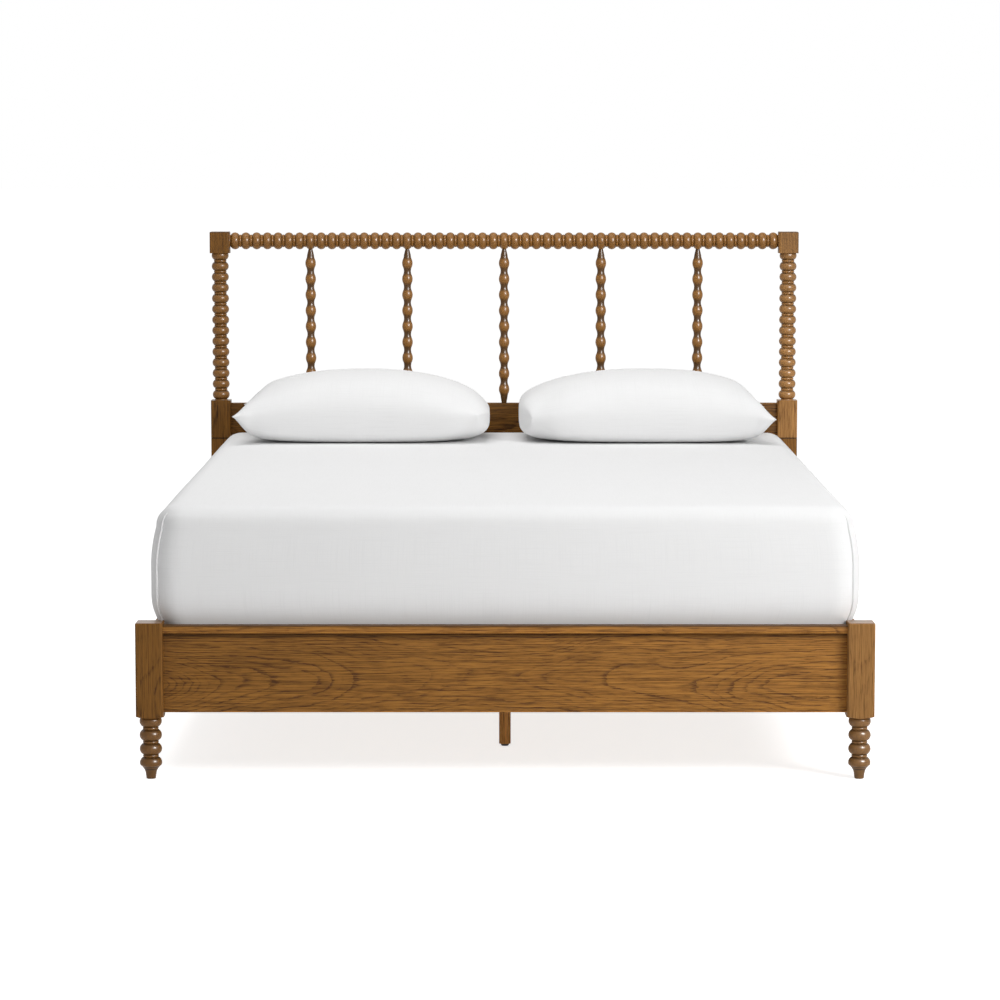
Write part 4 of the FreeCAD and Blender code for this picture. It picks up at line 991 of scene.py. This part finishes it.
# %% [markdown]
# ### Filling the bag
# The cloth solver treats the bag as cotton and its filling as air that wants a set volume. A few frames of
# light pressure are enough, because the dome is already near its form; more would only wrinkle it. What
# comes back is a plain mesh, so no simulation is left on the piece.

# %% Filling by cloth simulation
FILL_FRAMES = 12


def fill_bag(bm, litres):
    """Blows the bag up towards a volume and returns it as a new bmesh."""
    bag = new_piece("pillow_filling", bm, PILLOW_COTTON)
    cloth = bag.modifiers.new("filling", "CLOTH")
    cotton = cloth.settings
    cotton.quality = 5
    cotton.mass = 0.1
    cotton.tension_stiffness = cotton.compression_stiffness = 60
    cotton.shear_stiffness = 16
    cotton.bending_stiffness = 8
    cotton.air_damping = 4
    cotton.use_pressure = cotton.use_pressure_volume = True
    cotton.uniform_pressure_force = 0
    cotton.target_volume = litres / 1000
    cotton.pressure_factor = 4
    cotton.effector_weights.gravity = 0
    cloth.point_cache.frame_end = FILL_FRAMES
    scene = bpy.context.scene
    for step in range(1, FILL_FRAMES + 1):
        scene.frame_set(step)
    solved = bpy.data.meshes.new_from_object(bag.evaluated_get(bpy.context.evaluated_depsgraph_get()))
    filled = bmesh.new()
    filled.from_mesh(solved)
    scene.frame_set(1)
    bpy.data.objects.remove(bag)
    bpy.data.meshes.remove(solved)
    return filled


print("filling takes", FILL_FRAMES, "frames")

# %% [markdown]
# ### Smoothing and laying the pillows
# Plumped pillows are smooth, so the filled cloth is evened out while its sewn seam and ears stay crisp. The
# bag is then fitted to the room of the case's solid, with its seam level and its underside pressed flat on
# the sheet, and one subdivision makes it round.

# %% Pillow fitting
PLUMP = 0.005
EAR_REACH = 0.05
CLOTH_SMOOTHINGS = 14
SEAM_SMOOTHINGS = 7


def corners_of(bm):
    """The low and the high corner of the bag's box."""
    places = [v.co for v in bm.verts]
    return [Vector([pick(p[axis] for p in places) for axis in range(3)]) for pick in (min, max)]


def smooth_bag(bm, inner):
    """Evens the cloth but keeps the sewn seam, then softens the seam away from its ears."""
    seam = bm.verts.layers.int["seam"]
    low, high = corners_of(bm)
    outer = low.x if inner > 0 else high.x
    cloth = [v for v in bm.verts if not v[seam]]
    soft = [v for v in bm.verts if abs(v.co.x - outer) > EAR_REACH]
    for verts, times in ((cloth, CLOTH_SMOOTHINGS), (soft, SEAM_SMOOTHINGS)):
        for _ in range(times):
            bmesh.ops.smooth_vert(bm, verts=verts, factor=0.5, use_axis_x=True, use_axis_y=True,
                                  use_axis_z=True)


def fit_to_room(bm, node, seam_share):
    """Fits the bag into the box of the case's solid, with its seam level and its underside pressed flat."""
    low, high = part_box(node)
    high.z += PLUMP
    least, most = corners_of(bm)
    print(node, "filled to", [round(v, 3) for v in most - least])
    seam = low.z + seam_share * (high.z - low.z)
    for vert in bm.verts:
        for axis in (0, 1):
            share = (vert.co[axis] - least[axis]) / (most[axis] - least[axis])
            vert.co[axis] = low[axis] + share * (high[axis] - low[axis])
        if vert.co.z > 0:
            vert.co.z = seam + vert.co.z / most.z * (high.z - seam)
        else:
            vert.co.z = low.z + (1 - vert.co.z / least.z) ** 3 * (seam - low.z)


print("pillows stand", PLUMP * 1000, "mm above their solids")

# %% [markdown]
# ### Two pillows
# The two pillows are the same size, but no two are ever plumped alike: the right one is blunter at its open
# end and its seam lies lower. The left one's open end is at its right, so the pair is nearly a mirror image.

# %% Pillows
# side, sign of x at the open end, litres, bluntness above, power of the outer end, height of the seam
PILLOWS = (("left", 1, 42, 0.06, 2.3, 0.40), ("right", -1, 42, 0.40, 2.8, 0.36))


def make_pillow(side, inner, litres, blunt, power, seam_share):
    node = "pillowcase_" + side
    low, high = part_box(node)
    bm = pillow_bag(high.x - low.x + BAG_SPARE, high.y - low.y + BAG_SPARE, inner, blunt, power)
    bm = fill_bag(bm, litres)
    smooth_bag(bm, inner)
    fit_to_room(bm, node, seam_share)
    piece = new_piece("filled_pillow_" + side, bm, PILLOW_COTTON)
    soften = piece.modifiers.new("soften", "SUBSURF")
    soften.levels = soften.render_levels = 1
    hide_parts("pillow_" + side, node)
    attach(piece, "bedding_pillow_" + side)
    return piece


for way in PILLOWS:
    pillow = make_pillow(*way)
    print(pillow.name, len(pillow.data.polygons), "faces")
